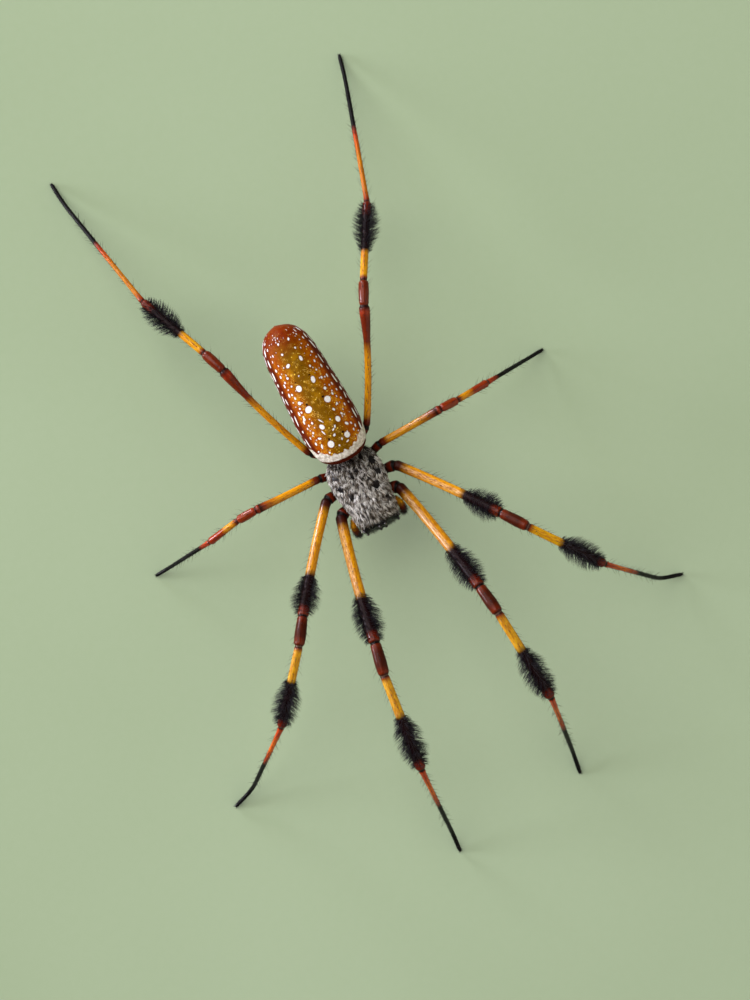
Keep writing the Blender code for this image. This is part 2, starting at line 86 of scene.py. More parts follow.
# A bell round a place: 1 there, falling off with the square of the distance over the width
def bell(values, place, width):
    return np.exp(-((values - place) / width) ** 2)


# Each pass makes every inner row half of itself and a quarter of each neighbour
def softened(values, passes):
    values = np.array(values, dtype=float)
    for turn in range(passes):
        values[1:-1] = values[:-2] / 4 + values[1:-1] / 2 + values[2:] / 4
    return values


# A picture colour of 0 to 255 as the linear colour a shader takes
def paint(red, green, blue):
    colour = np.array((red, green, blue)) / 255
    return np.where(colour <= 0.04045, colour / 12.92, ((colour + 0.055) / 1.055) ** 2.4)


# Waves of several lengths and directions added up: smooth unevenness, about -1 to 1, at points in mm
def unevenness(points, length, draw, waves=14):
    total = np.zeros(points.shape[:-1])
    for wave in range(waves):
        direction = unit(draw.normal(size=points.shape[-1])) / (length * draw.uniform(0.6, 1.6))
        total += np.sin(points @ direction * 2 * math.pi + draw.uniform(0, 2 * math.pi))
    return total / math.sqrt(waves)


# A mesh object from points in mm and groups of faces with the same number of corners, faced outwards by
# the sign of the volume it encloses
def addPiece(name, points, faceGroups, material, covers=()):
    signed = 0.0
    for faces in faceGroups:
        first = points[faces[:, 0]]
        for corner in range(1, faces.shape[1] - 1):
            second = points[faces[:, corner]]
            third = points[faces[:, corner + 1]]
            signed += np.einsum("ij,ij->", first, np.cross(second, third))
    if signed < 0:
        faceGroups = [faces[:, ::-1] for faces in faceGroups]
    corners = np.concatenate([faces.ravel() for faces in faceGroups])
    sizes = np.concatenate([np.full(len(faces), faces.shape[1]) for faces in faceGroups])
    mesh = bpy.data.meshes.new(name)
    mesh.vertices.add(len(points))
    mesh.vertices.foreach_set("co", toFrame(points).astype(np.float32).ravel())
    mesh.loops.add(len(corners))
    mesh.loops.foreach_set("vertex_index", corners.astype(np.int32))
    mesh.polygons.add(len(sizes))
    mesh.polygons.foreach_set("loop_start", (np.cumsum(sizes) - sizes).astype(np.int32))
    mesh.update(calc_edges=True)
    mesh.validate()
    mesh.polygons.foreach_set("use_smooth", np.ones(len(mesh.polygons), dtype=bool))
    mesh.materials.append(material)
    piece = bpy.data.objects.new(name, mesh)
    bpy.context.scene.collection.objects.link(piece)
    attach(piece, "root")
    if covers:
        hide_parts(*covers)
    return piece


def setNumbers(piece, name, values):
    attribute = piece.data.attributes.new(name, "FLOAT", "POINT")
    attribute.data.foreach_set("value", np.asarray(values, dtype=np.float32).ravel())


def setPlaces(piece, values):
    attribute = piece.data.attributes.new("place", "FLOAT_VECTOR", "POINT")
    attribute.data.foreach_set("vector", np.asarray(values, dtype=np.float32).ravel())


def setTints(piece, values):
    values = np.asarray(values, dtype=np.float32).reshape(-1, 3)
    values = np.column_stack([values, np.ones(len(values))]).astype(np.float32)
    attribute = piece.data.attributes.new("tint", "FLOAT_COLOR", "POINT")
    attribute.data.foreach_set("color", values.ravel())


# Faces of a closed grid of rings: quads from ring to ring, and a fan of triangles to the middle of each end
def ringFaces(rings, sides):
    low = np.arange(rings - 1)[:, None] * sides
    side = np.arange(sides)[None, :]
    following = (side + 1) % sides
    quads = np.stack([low + side, low + following, low + sides + following, low + sides + side], axis=-1)
    last = (rings - 1) * sides
    near = rings * sides
    start = np.column_stack([np.arange(sides), np.full(sides, near), following[0]])
    end = np.column_stack([last + np.arange(sides), last + following[0], np.full(sides, near + 1)])
    return [quads.reshape(-1, 4), np.vstack([start[:, [0, 1, 2]], end[:, [0, 1, 2]]])]


# The points of the rings and the middles of the first and the last
def ringPoints(grid):
    return np.vstack([grid.reshape(-1, 3), grid[0].mean(axis=0), grid[-1].mean(axis=0)])


# One value for each point of the grid and for its two end points
def withEnds(values):
    flat = values.reshape(-1, *values.shape[2:])
    return np.concatenate([flat, values[0].mean(axis=0)[None], values[-1].mean(axis=0)[None]])


# A closed skin from a grid of rings, with its colours, the places its patterns read and other values by name
def addSkin(name, grid, material, slot, covers, tints, places, **numbers):
    piece = addPiece(name, ringPoints(grid), ringFaces(*grid.shape[:2]), material, covers)
    setTints(piece, withEnds(tints))
    setPlaces(piece, withEnds(places))
    for key, values in numbers.items():
        setNumbers(piece, key, withEnds(values))
    return piece


# Colours moved towards another colour by a share
def tinted(tints, colour, share):
    return tints + (colour - tints) * share[..., None]


# Rings about points: cos a * across + sin a * over, for evenly spaced angles a
def ringRim(across, over, sides):
    angles = np.arange(sides) * 2 * math.pi / sides
    across, over = np.expand_dims(across, -2), np.expand_dims(over, -2)
    return np.cos(angles)[:, None] * across + np.sin(angles)[:, None] * over


# The shader nodes: one function makes a node, sets its fields and joins or fills its sockets. A socket is
# given by name or as i and its number, and a colour from paint gets its fourth value here
def addNode(material, kind, settings=None, **sockets):
    node = material.node_tree.nodes.new("ShaderNode" + kind)
    for field, value in (settings or {}).items():
        setattr(node, field, value)
    for name, value in sockets.items():
        socket = node.inputs[int(name[1:])] if name[1:].isdigit() else node.inputs[name.replace("_", " ")]
        if isinstance(value, bpy.types.NodeSocket):
            material.node_tree.links.new(value, socket)
        elif isinstance(value, np.ndarray):
            socket.default_value = (*value.tolist(), 1.0)
        else:
            socket.default_value = value
    return node


def newMaterial(name):
    material = bpy.data.materials.new(name)
    material.use_nodes = True
    material.node_tree.nodes.clear()
    return material


def finishMaterial(material, **sockets):
    shader = addNode(material, "BsdfPrincipled", **sockets)
    output = addNode(material, "OutputMaterial")
    material.node_tree.links.new(shader.outputs[0], output.inputs["Surface"])
    return material


def attribute(material, name, output="Color"):
    return addNode(material, "Attribute", {"attribute_name": name}).outputs[output]


def noise(material, place, scale, detail=3.0, roughness=0.55, distortion=0.0):
    return addNode(material, "TexNoise", Vector=place, Scale=scale, Detail=detail, Roughness=roughness,
                   Distortion=distortion).outputs[0]


# A value carried from one range to another, held within the second
def remap(material, value, low, high, newLow=0.0, newHigh=1.0):
    return addNode(material, "MapRange", {"interpolation_type": "SMOOTHSTEP"}, Value=value, From_Min=low,
                   From_Max=high, To_Min=newLow, To_Max=newHigh).outputs[0]


def mixColours(material, share, first, second, blend="MIX"):
    settings = {"data_type": "RGBA", "blend_type": blend}
    return addNode(material, "Mix", settings, i0=share, i6=first, i7=second).outputs[2]


def arithmetic(material, operation, first, second=0.0):
    return addNode(material, "Math", {"operation": operation}, i0=first, i1=second).outputs[0]


def times(material, first, *others):
    for other in others:
        first = arithmetic(material, "MULTIPLY", first, other)
    return first


def plus(material, first, second):
    return arithmetic(material, "ADD", first, second)


def minus(material, first, second):
    return arithmetic(material, "SUBTRACT", first, second)


def bump(material, height, strength, distance, normal=None):
    sockets = {"Height": height, "Strength": strength, "Distance": distance}
    if normal is not None:
        sockets["Normal"] = normal
    return addNode(material, "Bump", **sockets).outputs[0]


# Strands of hair as thin three-sided cones with a closed foot. Each bends from its first direction to its
# second: the middle line is the root + length * (first * (t - t*t/2) + second * t*t/2)
def strandArrays(roots, first, second, lengths, widths, shares, foot, draw):
    count = len(roots)
    shares = np.array(shares)
    late = (shares ** 2 / 2)[:, None]
    bend = (shares - shares ** 2 / 2)[:, None] * first[:, None] + late * second[:, None]
    middles = roots[:, None] + bend * lengths[:, None, None]
    across = unit(np.cross(first, draw.normal(size=(count, 3))))
    rim = ringRim(across, np.cross(first, across), 3)
    radii = widths[:, None] * (1 - shares[None, :-1]) ** 0.75
    radii[:, 0] *= foot
    rings = middles[:, :-1, None] + rim[:, None] * radii[:, :, None, None]
    return np.concatenate([rings.reshape(count, -1, 3), middles[:, -1:]], axis=1)


# Faces of strands: quads round the rings, three triangles to the tip and one over the foot
def strandFaces(count, rings):
    edge = np.array(((0, 1), (1, 2), (2, 0)))
    quads = np.vstack([np.hstack([edge, edge[:, ::-1] + 3]) + ring * 3 for ring in range(rings - 1)])
    tip = np.column_stack([edge + (rings - 1) * 3, np.full(3, rings * 3)])
    triangles = np.vstack([tip, (2, 1, 0)])
    steps = (np.arange(count) * (rings * 3 + 1))[:, None, None]
    return [(quads + steps).reshape(-1, 4), (triangles + steps).reshape(-1, 3)]


# Joins groups of strands in one piece, with a colour for each strand and its patch of the bake map. Strands
# that would reach through the floor are left out
def addStrands(name, groups, material):
    points, tints, patches, faceGroups, offset = [], [], [], [], 0
    for group in groups:
        made = strandArrays(*[group[key] for key in ("roots", "first", "second", "lengths", "widths",
                                                     "shares", "foot", "draw")])
        above = made[..., 2].min(axis=1) > floorZ + 0.01
        made = made[above]
        count, each = made.shape[:2]
        points.append(made.reshape(-1, 3))
        tints.append(np.repeat(group["tints"][above], each, axis=0))
        spread = 0.003 * np.column_stack([np.arange(each) % 3 / 2, np.arange(each) // 3 * 3 / each])
        patches.append((group["map"][above][:, None] * 0.996 + spread[None]).reshape(-1, 2))
        faceGroups += [faces + offset for faces in strandFaces(count, len(group["shares"]) - 1)]
        offset += count * each
    piece = addPiece(name, np.vstack(points), faceGroups, material)
    setTints(piece, np.vstack(tints))
    corners = np.empty(len(piece.data.loops), dtype=np.int32)
    piece.data.loops.foreach_get("vertex_index", corners)
    layer = piece.data.uv_layers.new(name="OFBake")
    layer.data.foreach_set("uv", np.vstack(patches)[corners].astype(np.float32).ravel())
    return piece


# Materials
def legMaterial():
    material = newMaterial("leg_cuticle_skin")
    place = attribute(material, "place", "Vector")
    tint = attribute(material, "tint")
    gloss = attribute(material, "gloss", "Fac")
    speckled = attribute(material, "speckled", "Fac")
    lines = noise(material, place, 9.0, 4.0, 0.6)
    grain = noise(material, place, 40.0, 2.0)
    clouds = noise(material, place, 1.6, 2.0)
    darker = mixColours(material, 0.6, tint, paint(190, 132, 84), "MULTIPLY")
    colour = mixColours(material, remap(material, lines, 0.42, 0.56), darker, tint)
    # on the side of the long legs that faces the lights: pale flecks and brown dashes along the leg, laid with
    # the painted sheen of that side
    pale = remap(material, noise(material, place, 13.0, 3.0, 0.6), 0.54, 0.64)
    brown = remap(material, noise(material, place, 11.0, 2.0, 0.5, 0.4), 0.44, 0.36)
    colour = mixColours(material, times(material, pale, speckled, 0.62), colour, paint(236, 206, 168))
    colour = mixColours(material, times(material, brown, speckled, 0.75), colour, paint(132, 74, 30))
    colour = mixColours(material, remap(material, clouds, 0.4, 0.7, 0.0, 0.3), colour,
                        paint(214, 150, 110), "MULTIPLY")
    height = plus(material, lines, times(material, grain, 0.35))
    normal = bump(material, height, 0.4, 0.00003)
    dull = times(material, minus(material, 1.0, gloss), 0.16)
    roughness = plus(material, remap(material, grain, 0.3, 0.7, 0.2, 0.3), dull)
    return finishMaterial(material, Base_Color=colour, Roughness=roughness, Normal=normal,
                          Specular_IOR_Level=0.07, Subsurface_Weight=0.08, Subsurface_Radius=(1.0, 0.4, 0.08),
                          Subsurface_Scale=0.0003, Coat_Weight=remap(material, gloss, 0.0, 1.0, 0.1, 0.5),
                          Coat_Roughness=0.15)


def hairMaterial(name, roughness, sheen, specular):
    material = newMaterial(name)
    tint = attribute(material, "tint")
    place = addNode(material, "TexCoord").outputs["Object"]
    streaks = noise(material, place, 2600.0, 2.0)
    colour = mixColours(material, remap(material, streaks, 0.4, 0.7, 0.0, 0.22), tint, sheen, "SCREEN")
    rough = remap(material, streaks, 0.3, 0.7, roughness - 0.08, roughness + 0.08)
    normal = bump(material, streaks, 0.3, 0.00001)
    return finishMaterial(material, Base_Color=colour, Roughness=rough, Normal=normal,
                          Specular_IOR_Level=specular)


def abdomenMaterial():
    material = newMaterial("abdomen_skin")
    tint = attribute(material, "tint")
    place = attribute(material, "place", "Vector")
    dorsal = attribute(material, "dorsal", "Fac")
    fine = noise(material, place, 9.0, 3.0)
    wide = noise(material, place, 0.7, 3.0)
    wobble = times(material, minus(material, fine, 0.5), 0.16)
    mottle = remap(material, noise(material, place, 2.0, 2.0, 0.5), 0.3, 0.7)
    darker = mixColours(material, 0.3, tint, paint(150, 84, 40), "MULTIPLY")
    colour = mixColours(material, mottle, darker, tint)
    lighter = mixColours(material, 0.3, tint, paint(214, 150, 10))
    colour = mixColours(material, times(material, remap(material, wide, 0.5, 0.68), dorsal), colour, lighter)
    # yellow flecks and thin yellow worm lines on the back
    specks = addNode(material, "TexVoronoi", Vector=place, Scale=1.75, Randomness=1.0).outputs["Distance"]
    speckle = remap(material, plus(material, specks, wobble), 0.19, 0.12)
    chosen = remap(material, noise(material, place, 1.1, 1.0), 0.4, 0.46)
    speckle = times(material, speckle, chosen, dorsal, 0.9)
    colour = mixColours(material, speckle, colour, paint(240, 202, 70))
    worms = noise(material, place, 1.5, 1.0, 0.5, 2.2)
    squiggle = remap(material, arithmetic(material, "ABSOLUTE", minus(material, worms, 0.5)), 0.03, 0.018)
    gate = remap(material, noise(material, place, 1.9, 0.0), 0.52, 0.57)
    squiggle = times(material, squiggle, gate, dorsal, 0.65)
    colour = mixColours(material, squiggle, colour, paint(230, 188, 84))
    # dark pits, and white spots with a brown halo
    pit = plus(material, attribute(material, "pits", "Fac"), wobble)
    colour = mixColours(material, remap(material, pit, 0.05, -0.04), colour, paint(38, 16, 8))
    white = plus(material, attribute(material, "spots", "Fac"), wobble)
    halo = remap(material, white, 0.16, 0.02, 0.0, 0.55)
    colour = mixColours(material, halo, colour, paint(96, 40, 8))
    whiteness = remap(material, white, 0.03, -0.04)
    spotWhite = mixColours(material, remap(material, fine, 0.3, 0.7), paint(222, 220, 212),
                           paint(246, 246, 244))
    colour = mixColours(material, whiteness, colour, spotWhite)
    band = plus(material, attribute(material, "band", "Fac"), times(material, wobble, 1.6))
    cream = mixColours(material, remap(material, noise(material, place, 3.0, 3.0), 0.3, 0.7),
                       paint(178, 166, 148), paint(234, 228, 216))
    colour = mixColours(material, remap(material, band, 0.05, -0.05), colour, cream)
    wrinkles = plus(material, noise(material, place, 5.0, 4.0, 0.6), times(material, whiteness, 0.5))
    normal = bump(material, wrinkles, 0.4, 0.00004)
    normal = bump(material, noise(material, place, 34.0, 2.0), 0.3, 0.000015, normal)
    roughness = remap(material, fine, 0.3, 0.7, 0.36, 0.5)
    return finishMaterial(material, Base_Color=colour, Roughness=roughness, Normal=normal,
                          Specular_IOR_Level=0.04, Subsurface_Weight=0.08, Subsurface_Radius=(1.0, 0.4, 0.1),
                          Subsurface_Scale=0.0003)


# Dark shell with colour from the tint attribute, cloudy stains and pores
def shellMaterial(name, roughness, coat, stain, poreScale):
    material = newMaterial(name)
    tint = attribute(material, "tint")
    place = attribute(material, "place", "Vector")
    clouds = noise(material, place, 1.3, 4.0, 0.6)
    grain = noise(material, place, 14.0, 3.0)
    pores = addNode(material, "TexVoronoi", Vector=place, Scale=poreScale, Randomness=1.0).outputs["Distance"]
    colour = mixColours(material, remap(material, clouds, 0.4, 0.7, 0.0, 0.7), tint, stain)
    colour = mixColours(material, remap(material, pores, 0.22, 0.08, 0.0, 0.6), colour, paint(14, 9, 8))
    height = plus(material, times(material, grain, 0.6), remap(material, pores, 0.05, 0.3))
    normal = bump(material, height, 0.5, 0.00004)
    rough = remap(material, clouds, 0.3, 0.7, roughness - 0.08, roughness + 0.1)
    return finishMaterial(material, Base_Color=colour, Roughness=rough, Normal=normal,
                          Specular_IOR_Level=0.18, Coat_Weight=coat, Coat_Roughness=0.16)


def eyeMaterial():
    material = newMaterial("eye_lens")
    place = addNode(material, "TexCoord").outputs["Object"]
    clouds = noise(material, place, 5200.0, 2.0)
    share = remap(material, clouds, 0.35, 0.7)
    colour = mixColours(material, share, paint(10, 8, 12), paint(46, 30, 26))
    rough = remap(material, clouds, 0.3, 0.7, 0.04, 0.1)
    normal = bump(material, clouds, 0.05, 0.000005)
    return finishMaterial(material, Base_Color=colour, Roughness=rough, Normal=normal, Coat_Weight=1.0,
                          Coat_Roughness=0.03)


def floorMaterial():
    material = newMaterial("floor_pale")
    place = addNode(material, "TexCoord").outputs["Object"]
    clouds = noise(material, place, 9.0, 3.0)
    grain = noise(material, place, 900.0, 2.0)
    share = remap(material, clouds, 0.3, 0.7)
    colour = mixColours(material, share, paint(164, 183, 147), paint(171, 190, 155))
    rough = remap(material, grain, 0.3, 0.7, 0.75, 0.9)
    normal = bump(material, grain, 0.08, 0.00005)
    return finishMaterial(material, Base_Color=colour, Roughness=rough, Normal=normal)


legSkinMaterial = legMaterial()
blackHairMaterial = hairMaterial("brush_hair", 0.42, paint(52, 48, 66), 0.22)
paleHairMaterial = hairMaterial("silver_hair", 0.4, paint(60, 58, 56), 0.4)
abdomenSkinMaterial = abdomenMaterial()
carapaceSkinMaterial = shellMaterial("carapace_shell", 0.34, 0.12, paint(24, 15, 14), 3.2)
darkSkinMaterial = shellMaterial("dark_shell", 0.36, 0.25, paint(74, 26, 20), 2.6)
hornMaterial = shellMaterial("black_horn_shell", 0.2, 0.6, paint(26, 14, 12), 2.2)
eyeLensMaterial = eyeMaterial()
print("materials made")

# Legs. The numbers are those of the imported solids; places along a leg are counted from the body: coxa 0 to 1,
# femur 1 to 2, patella 2 to 3, tibia 3 to 4, metatarsus 4 to 5, tarsus 5 to 6
legs = dict(
    lengths={1: (17.0, 4.0, 12.2, 16.4, 3.1), 2: (15.3, 3.8, 10.7, 14.8, 3.2), 3: (8.6, 2.5, 4.9, 8.9, 2.4),
             4: (14.6, 3.1, 10.5, 16.9, 3.0)},
    # start of the femur, headings outwards from ahead, pitches upwards
    poses={
        ("right", 1): ((-3.97, -5.80, 9.5), (12.6, 12.1, 6.5, 3.1, 5.3), (23.5, 8.6, -7.0, -56.5, -27.1)),
        ("left", 1): ((3.91, -5.89, 9.5), (10.7, 7.0, 4.1, -4.4, -8.4), (25.7, 21.7, -11.7, -61.5, -22.7)),
        ("right", 2): ((-4.58, -3.29, 9.5), (39.3, 34.9, 40.4, 52.8, 71.7), (22.8, 23.4, -20.6, -53.1, -18)),
        ("left", 2): ((4.76, -3.36, 9.5), (37.1, 34.8, 36.3, 46.8, 74.2), (25.3, 21.6, -16.4, -59.2, -25.3)),
        ("right", 3): ((-4.2, -0.59, 9.4), (91.5, 88.3, 80.8, 86.3, 87.4), (11.2, -13.2, -28.5, -47.7, -31)),
        ("left", 3): ((4.38, -0.24, 9.4), (91.5, 89.6, 92.5, 93.2, 93.4), (15, -28.6, -29.2, -46.5, -31.4)),
        ("right", 4): ((-3.67, 2.57, 9.3), (161.7, 160.4, 158, 168.8, 175.8), (8.6, -11.2, -21, -20.8, -16)),
        ("left", 4): ((3.88, 2.35, 9.3), (153.2, 153.2, 149.5, 161.9, 166.3),
                      (10.2, -12.9, -23.2, -19.9, -20.1)),
    },
    # femur, its collar, patella, tibia, start and middle of the metatarsus, tarsus
    radii={1: (.68, .76, .78, .58, .39, .30, .28), 2: (.61, .70, .74, .53, .37, .29, .27),
           3: (.48, .56, .60, .43, .34, .27, .25), 4: (.44, .68, .68, .48, .35, .30, .27)},
    femurBowOut={1: 0.2, 2: 0.15, 3: 0.05, 4: 0.32},
    metatarsusBowUp={1: 1.0, 2: 0.9, 3: 0.5, 4: 0.3},
    coxaRootY={1: -4.75, 2: -3.05, 3: -1.35, 4: 0.25},
    coxaRootZ=8.6,
    tanSheenShare={1: 0.95, 2: 0.85, 3: 0.3, 4: 0.06},   # how much the bright parts are painted tan and speckled on the side facing the lights: partly their own tan backs, partly painted sheen
    litSideLook=(-0.5, 0.35, 1.0),                     # the way the painted lit side faces: towards the key and side lights, the same for the legs of both sides
    coatDepth=0.03,
    ringStep=0.11,
    sides=32,
    bendPasses=26,     # how far the bends at the joints are rounded
    footPasses=140,    # more rounding for the bend above the foot
    jointDepth=0.13,   # share of the radius lost in the membrane of a joint
    jointWidth=0.11,
)
coreOutline = ((-7.05, .8), (-6.8, 1.0), (-6.0, 1.2), (-5.2, 1.45), (-3.6, 1.5), (-2.2, 1.45), (-0.6, 1.15),
               (0.4, .8), (0.75, .5))


# The core's half width at a place along Y, straight between the outline's stops
def coreHalfWidth(y):
    places, widths = zip(*coreOutline)
    return np.interp(y, places, widths)


# The middle line of a leg as points, places and radii: each segment is a chord with a shallow arch added
def legLine(side, pair):
    sign = sideSigns[side]
    start, headings, pitches = legs["poses"][side, pair]
    joints = [np.array(start)]
    for length, heading, pitch in zip(legs["lengths"][pair], np.radians(headings), np.radians(pitches)):
        joints.append(joints[-1] + length * np.array((sign * math.sin(heading) * math.cos(pitch),
                                                      -math.cos(heading) * math.cos(pitch), math.sin(pitch))))
    rootY = legs["coxaRootY"][pair]
    root = np.array((sign * (float(coreHalfWidth(rootY)) - 0.25), rootY, legs["coxaRootZ"]))
    outwards = unit(np.cross(joints[1] - joints[0], (0, 0, 1)))
    outwards = outwards * (sign if outwards[0] > 0 else -sign)
    bows = [np.array((0, 0, -0.1)), outwards * legs["femurBowOut"][pair] + np.array((0, 0, 0.3)),
            np.array((0, 0, 0.08)), np.array((0, 0, 0.15)), np.array((0, 0, legs["metatarsusBowUp"][pair])),
            np.zeros(3)]
    points, places = [], []
    for part, (low, high, bow) in enumerate(zip([root] + joints[:-1], joints, bows)):
        count = int(np.linalg.norm(high - low) / legs["ringStep"])
        shares = np.arange(count) / count
        points.append(low + (high - low) * shares[:, None] + arch(shares)[:, None] * bow)
        places.append(part + shares)
    points = np.vstack(points + [joints[-1][None]])
    places = np.append(np.concatenate(places), 6.0)
    points = softened(points, legs["bendPasses"])
    late = places > 4.5
    points[late] = softened(points[late], legs["footPasses"])
    femur, collar, patella, tibia, metatarsus, middle, tarsus = legs["radii"][pair]
    ring = femur * 1.12
    stops = [(0, .68), (.3, .71), (.58, .71), (.72, ring * .92), (.86, ring * 1.08), (1, ring * .95),
             (1.05, femur * 1.05), (1.28, femur), (1.5, femur), (1.72, femur * 1.03), (1.93, collar),
             (1.975, collar), (2, patella * .84), (2.05, patella * .86), (2.25, patella * .93),
             (2.6, patella), (2.85, patella * .94), (2.96, patella * .82), (3, tibia * .94), (3.08, tibia),
             (3.35, tibia * 1.02), (3.65, tibia * 1.1),
             (3.94, tibia * 1.18), (3.985, tibia * 1.08), (4, metatarsus * 1.15), (4.06, metatarsus),
             (4.25, middle * 1.08), (4.5, middle), (4.75, middle * .94), (5, tarsus), (5.5, tarsus),
             (5.9, tarsus * .92), (5.97, tarsus * .7), (6, tarsus * .3)]
    radii = np.interp(places, *zip(*stops))
    radii = softened(radii, 3) - legs["coatDepth"]
    arcs = np.concatenate([[0], np.cumsum(np.linalg.norm(np.diff(points, axis=0), axis=1))])
    for joint, depth in ((0.66, 0.7), (1, 1), (2, 1), (3, 1), (4, 1), (5, 0.3)):
        arc = np.interp(joint, places, arcs)
        radii *= 1 - legs["jointDepth"] * depth * bell(arcs, arc, legs["jointWidth"])
        radii *= 1 + 0.05 * depth * (bell(arcs, arc - 0.34, 0.12) + bell(arcs, arc + 0.34, 0.12))
    talls = np.interp(places, (0, .3, .58, .72, 1), (1.35, 1.35, 1.15, 1, 1))
    tangents = unit(np.gradient(points, axis=0))
    across = unit(np.cross(tangents, (0, 0, 1)))
    return dict(points=points, places=places, radii=radii, arcs=arcs, talls=talls, tangents=tangents,
                across=across, over=np.cross(across, tangents))


# Colours along a leg, by place. Between two stops the colour changes evenly
maroon, deepMaroon, redBrown = paint(70, 24, 6), paint(44, 14, 10), paint(112, 36, 2)
# the tan of the next line is painted on the side of the legs that faces the lights: partly their own tan backs,
# partly painted sheen
tanSheen, amber, yellow = paint(190, 144, 76), paint(222, 154, 1), paint(232, 174, 1)
# membrane is the pale joint skin between patella and tibia, drawn as a full pale ring for the small glints at
# that joint: partly real, partly painted highlight
purpleBlack, membraneGlint, orangeRed = paint(32, 14, 17), paint(116, 84, 68), paint(150, 48, 3)
orange, burntOrange, black = paint(180, 88, 2), paint(136, 54, 3), paint(9, 8, 9)
gold, collarRed = paint(204, 128, 3), paint(110, 32, 6)
footRed, footOrange = paint(196, 62, 1), paint(228, 106, 1)
coxaStops = ((0, deepMaroon), (.25, maroon), (.5, maroon), (.6, collarRed), (.64, black), (.7, black),
             (.76, maroon), (.88, collarRed), (.93, black), (1.0, black))
legTints = {
    1: coxaStops + (
        (1.01, deepMaroon), (1.06, maroon), (1.14, amber), (1.6, amber), (1.66, purpleBlack),
        (1.9, purpleBlack), (1.945, collarRed), (1.985, redBrown), (1.995, black), (2.03, black),
        (2.06, redBrown), (2.3, maroon), (2.7, maroon), (2.93, redBrown), (2.98, black),
        # the pale ring at the patella and tibia joint is partly painted highlight
        (3.002, membraneGlint), (3.01, black), (3.025, burntOrange), (3.07, yellow), (3.38, yellow),
        (3.45, purpleBlack), (3.88, purpleBlack), (3.93, collarRed), (3.98, collarRed), (3.992, black),
        (4.005, black), (4.02, footRed), (4.1, footRed), (4.2, footOrange), (4.34, footOrange),
        (4.48, footRed), (4.57, black), (6, black)),
    3: coxaStops + (
        (1.01, maroon), (1.08, redBrown), (1.16, amber), (1.6, amber), (1.86, burntOrange), (1.93, black),
        (1.955, orangeRed), (2.0, black), (2.05, orangeRed), (2.5, burntOrange), (2.95, orangeRed),
        (3.0, black), (3.06, burntOrange), (3.16, amber), (3.36, amber), (3.52, orangeRed),
        (3.95, orangeRed), (4.0, black), (4.03, footRed), (4.16, orangeRed), (4.24, black), (6, black)),
    4: coxaStops + (
        (1.01, maroon), (1.05, redBrown), (1.1, amber), (1.58, amber), (1.7, redBrown), (1.9, redBrown),
        (1.945, orangeRed), (1.99, black), (2.04, redBrown), (2.95, redBrown), (3.0, black),
        (3.03, burntOrange), (3.07, yellow), (3.33, amber), (3.39, purpleBlack), (3.8, purpleBlack),
        (3.9, collarRed), (3.985, collarRed), (4.0, black), (4.02, orangeRed), (4.05, orange),
        (4.11, gold), (4.36, gold), (4.46, footOrange), (4.53, footRed), (4.6, black), (6, black)),
}
legTints[2] = legTints[1]


# Each channel straight between the stops
def tintAlong(stops, places):
    marks, colours = zip(*stops)
    colours = np.array(colours)
    return np.stack([np.interp(places, marks, colours[:, channel]) for channel in range(3)], axis=-1)


# Values of a leg's line at any places, by straight interpolation along its arc
def onLine(line, key, arcs):
    values = line[key]
    if values.ndim == 1:
        return np.interp(arcs, line["arcs"], values)
    return np.stack([np.interp(arcs, line["arcs"], values[:, axis]) for axis in range(3)], axis=-1)


# A leg's skin: rings of radius * (cos a * across + tall * sin a * over) about the middle line
def legSkin(side, pair, line):
    angles = np.arange(legs["sides"]) * 2 * math.pi / legs["sides"]
    rim = np.cos(angles)[None, :, None] * line["across"][:, None]
    rim = rim + (line["talls"][:, None] * np.sin(angles)[None])[:, :, None] * line["over"][:, None]
    grid = line["points"][:, None] + rim * line["radii"][:, None, None]
    grid[..., 2] = np.maximum(grid[..., 2], floorZ)
    name = f"leg_{side}_{pair}"
    covers = [f"{name}_{part}" for part in ("coxa", "femur", "patella", "tibia", "metatarsus")]
    tints = np.repeat(tintAlong(legTints[pair], line["places"])[:, None], legs["sides"], axis=1)
    # the bright parts of the long front legs are paler and browner on the side that faces the lights, the same
    # way on both sides of the body: partly their own tan backs, partly painted sheen of the light
    top = ease(unit(rim) @ unit(legs["litSideLook"]), 0.74, 0.97)[..., None]
    bright = ease(tints[..., 1:2], 0.12, 0.26) * legs["tanSheenShare"][pair]
    onFemur = (1 - 0.5 * ease(line["places"], 2.0, 3.0))[:, None, None]
    speckled = top * bright * onFemur
    tints = tints + (tanSheen - tints) * speckled * 0.8
    gloss = ease(tints.sum(axis=-1), 0.06, 0.24)
    # patterns are read round the leg and, drawn out six times, along it
    coordinates = (np.cos(angles), np.sin(angles), (line["arcs"] * 0.16)[:, None])
    places = np.stack([np.broadcast_to(values, grid.shape[:2]) for values in coordinates], axis=-1)
    places = places * np.array((0.6, 0.6, 1.0)) + np.array((pair * 7.0, sideSigns[side] * 3.0, 0))
    addSkin(name + "_skin", grid, legSkinMaterial, "leg_cuticle", covers, tints, places, gloss=gloss,
            speckled=speckled[..., 0])


# Roots on a leg, the directions out of it and along it, and their places on the bake map
def legRoots(line, arcs, angles, sink=0.03):
    radii = onLine(line, "radii", arcs)
    talls = onLine(line, "talls", arcs)
    out = np.cos(angles)[:, None] * onLine(line, "across", arcs)
    out = out + (talls * np.sin(angles))[:, None] * onLine(line, "over", arcs)
    roots = onLine(line, "points", arcs) + out * (radii - sink)[:, None]
    place = np.column_stack([np.mod(angles, 2 * math.pi) / (2 * math.pi), arcs / line["arcs"][-1]])
    return roots, unit(out), unit(onLine(line, "tangents", arcs)), place


# A direction that leans out of the skin by an angle in degrees, with a little random turn
def leaning(out, along, lean, draw, scatter):
    lean = np.radians(np.broadcast_to(lean, len(out)))[:, None]
    return unit(out * np.sin(lean) + along * np.cos(lean) + draw.normal(size=out.shape) * scatter)


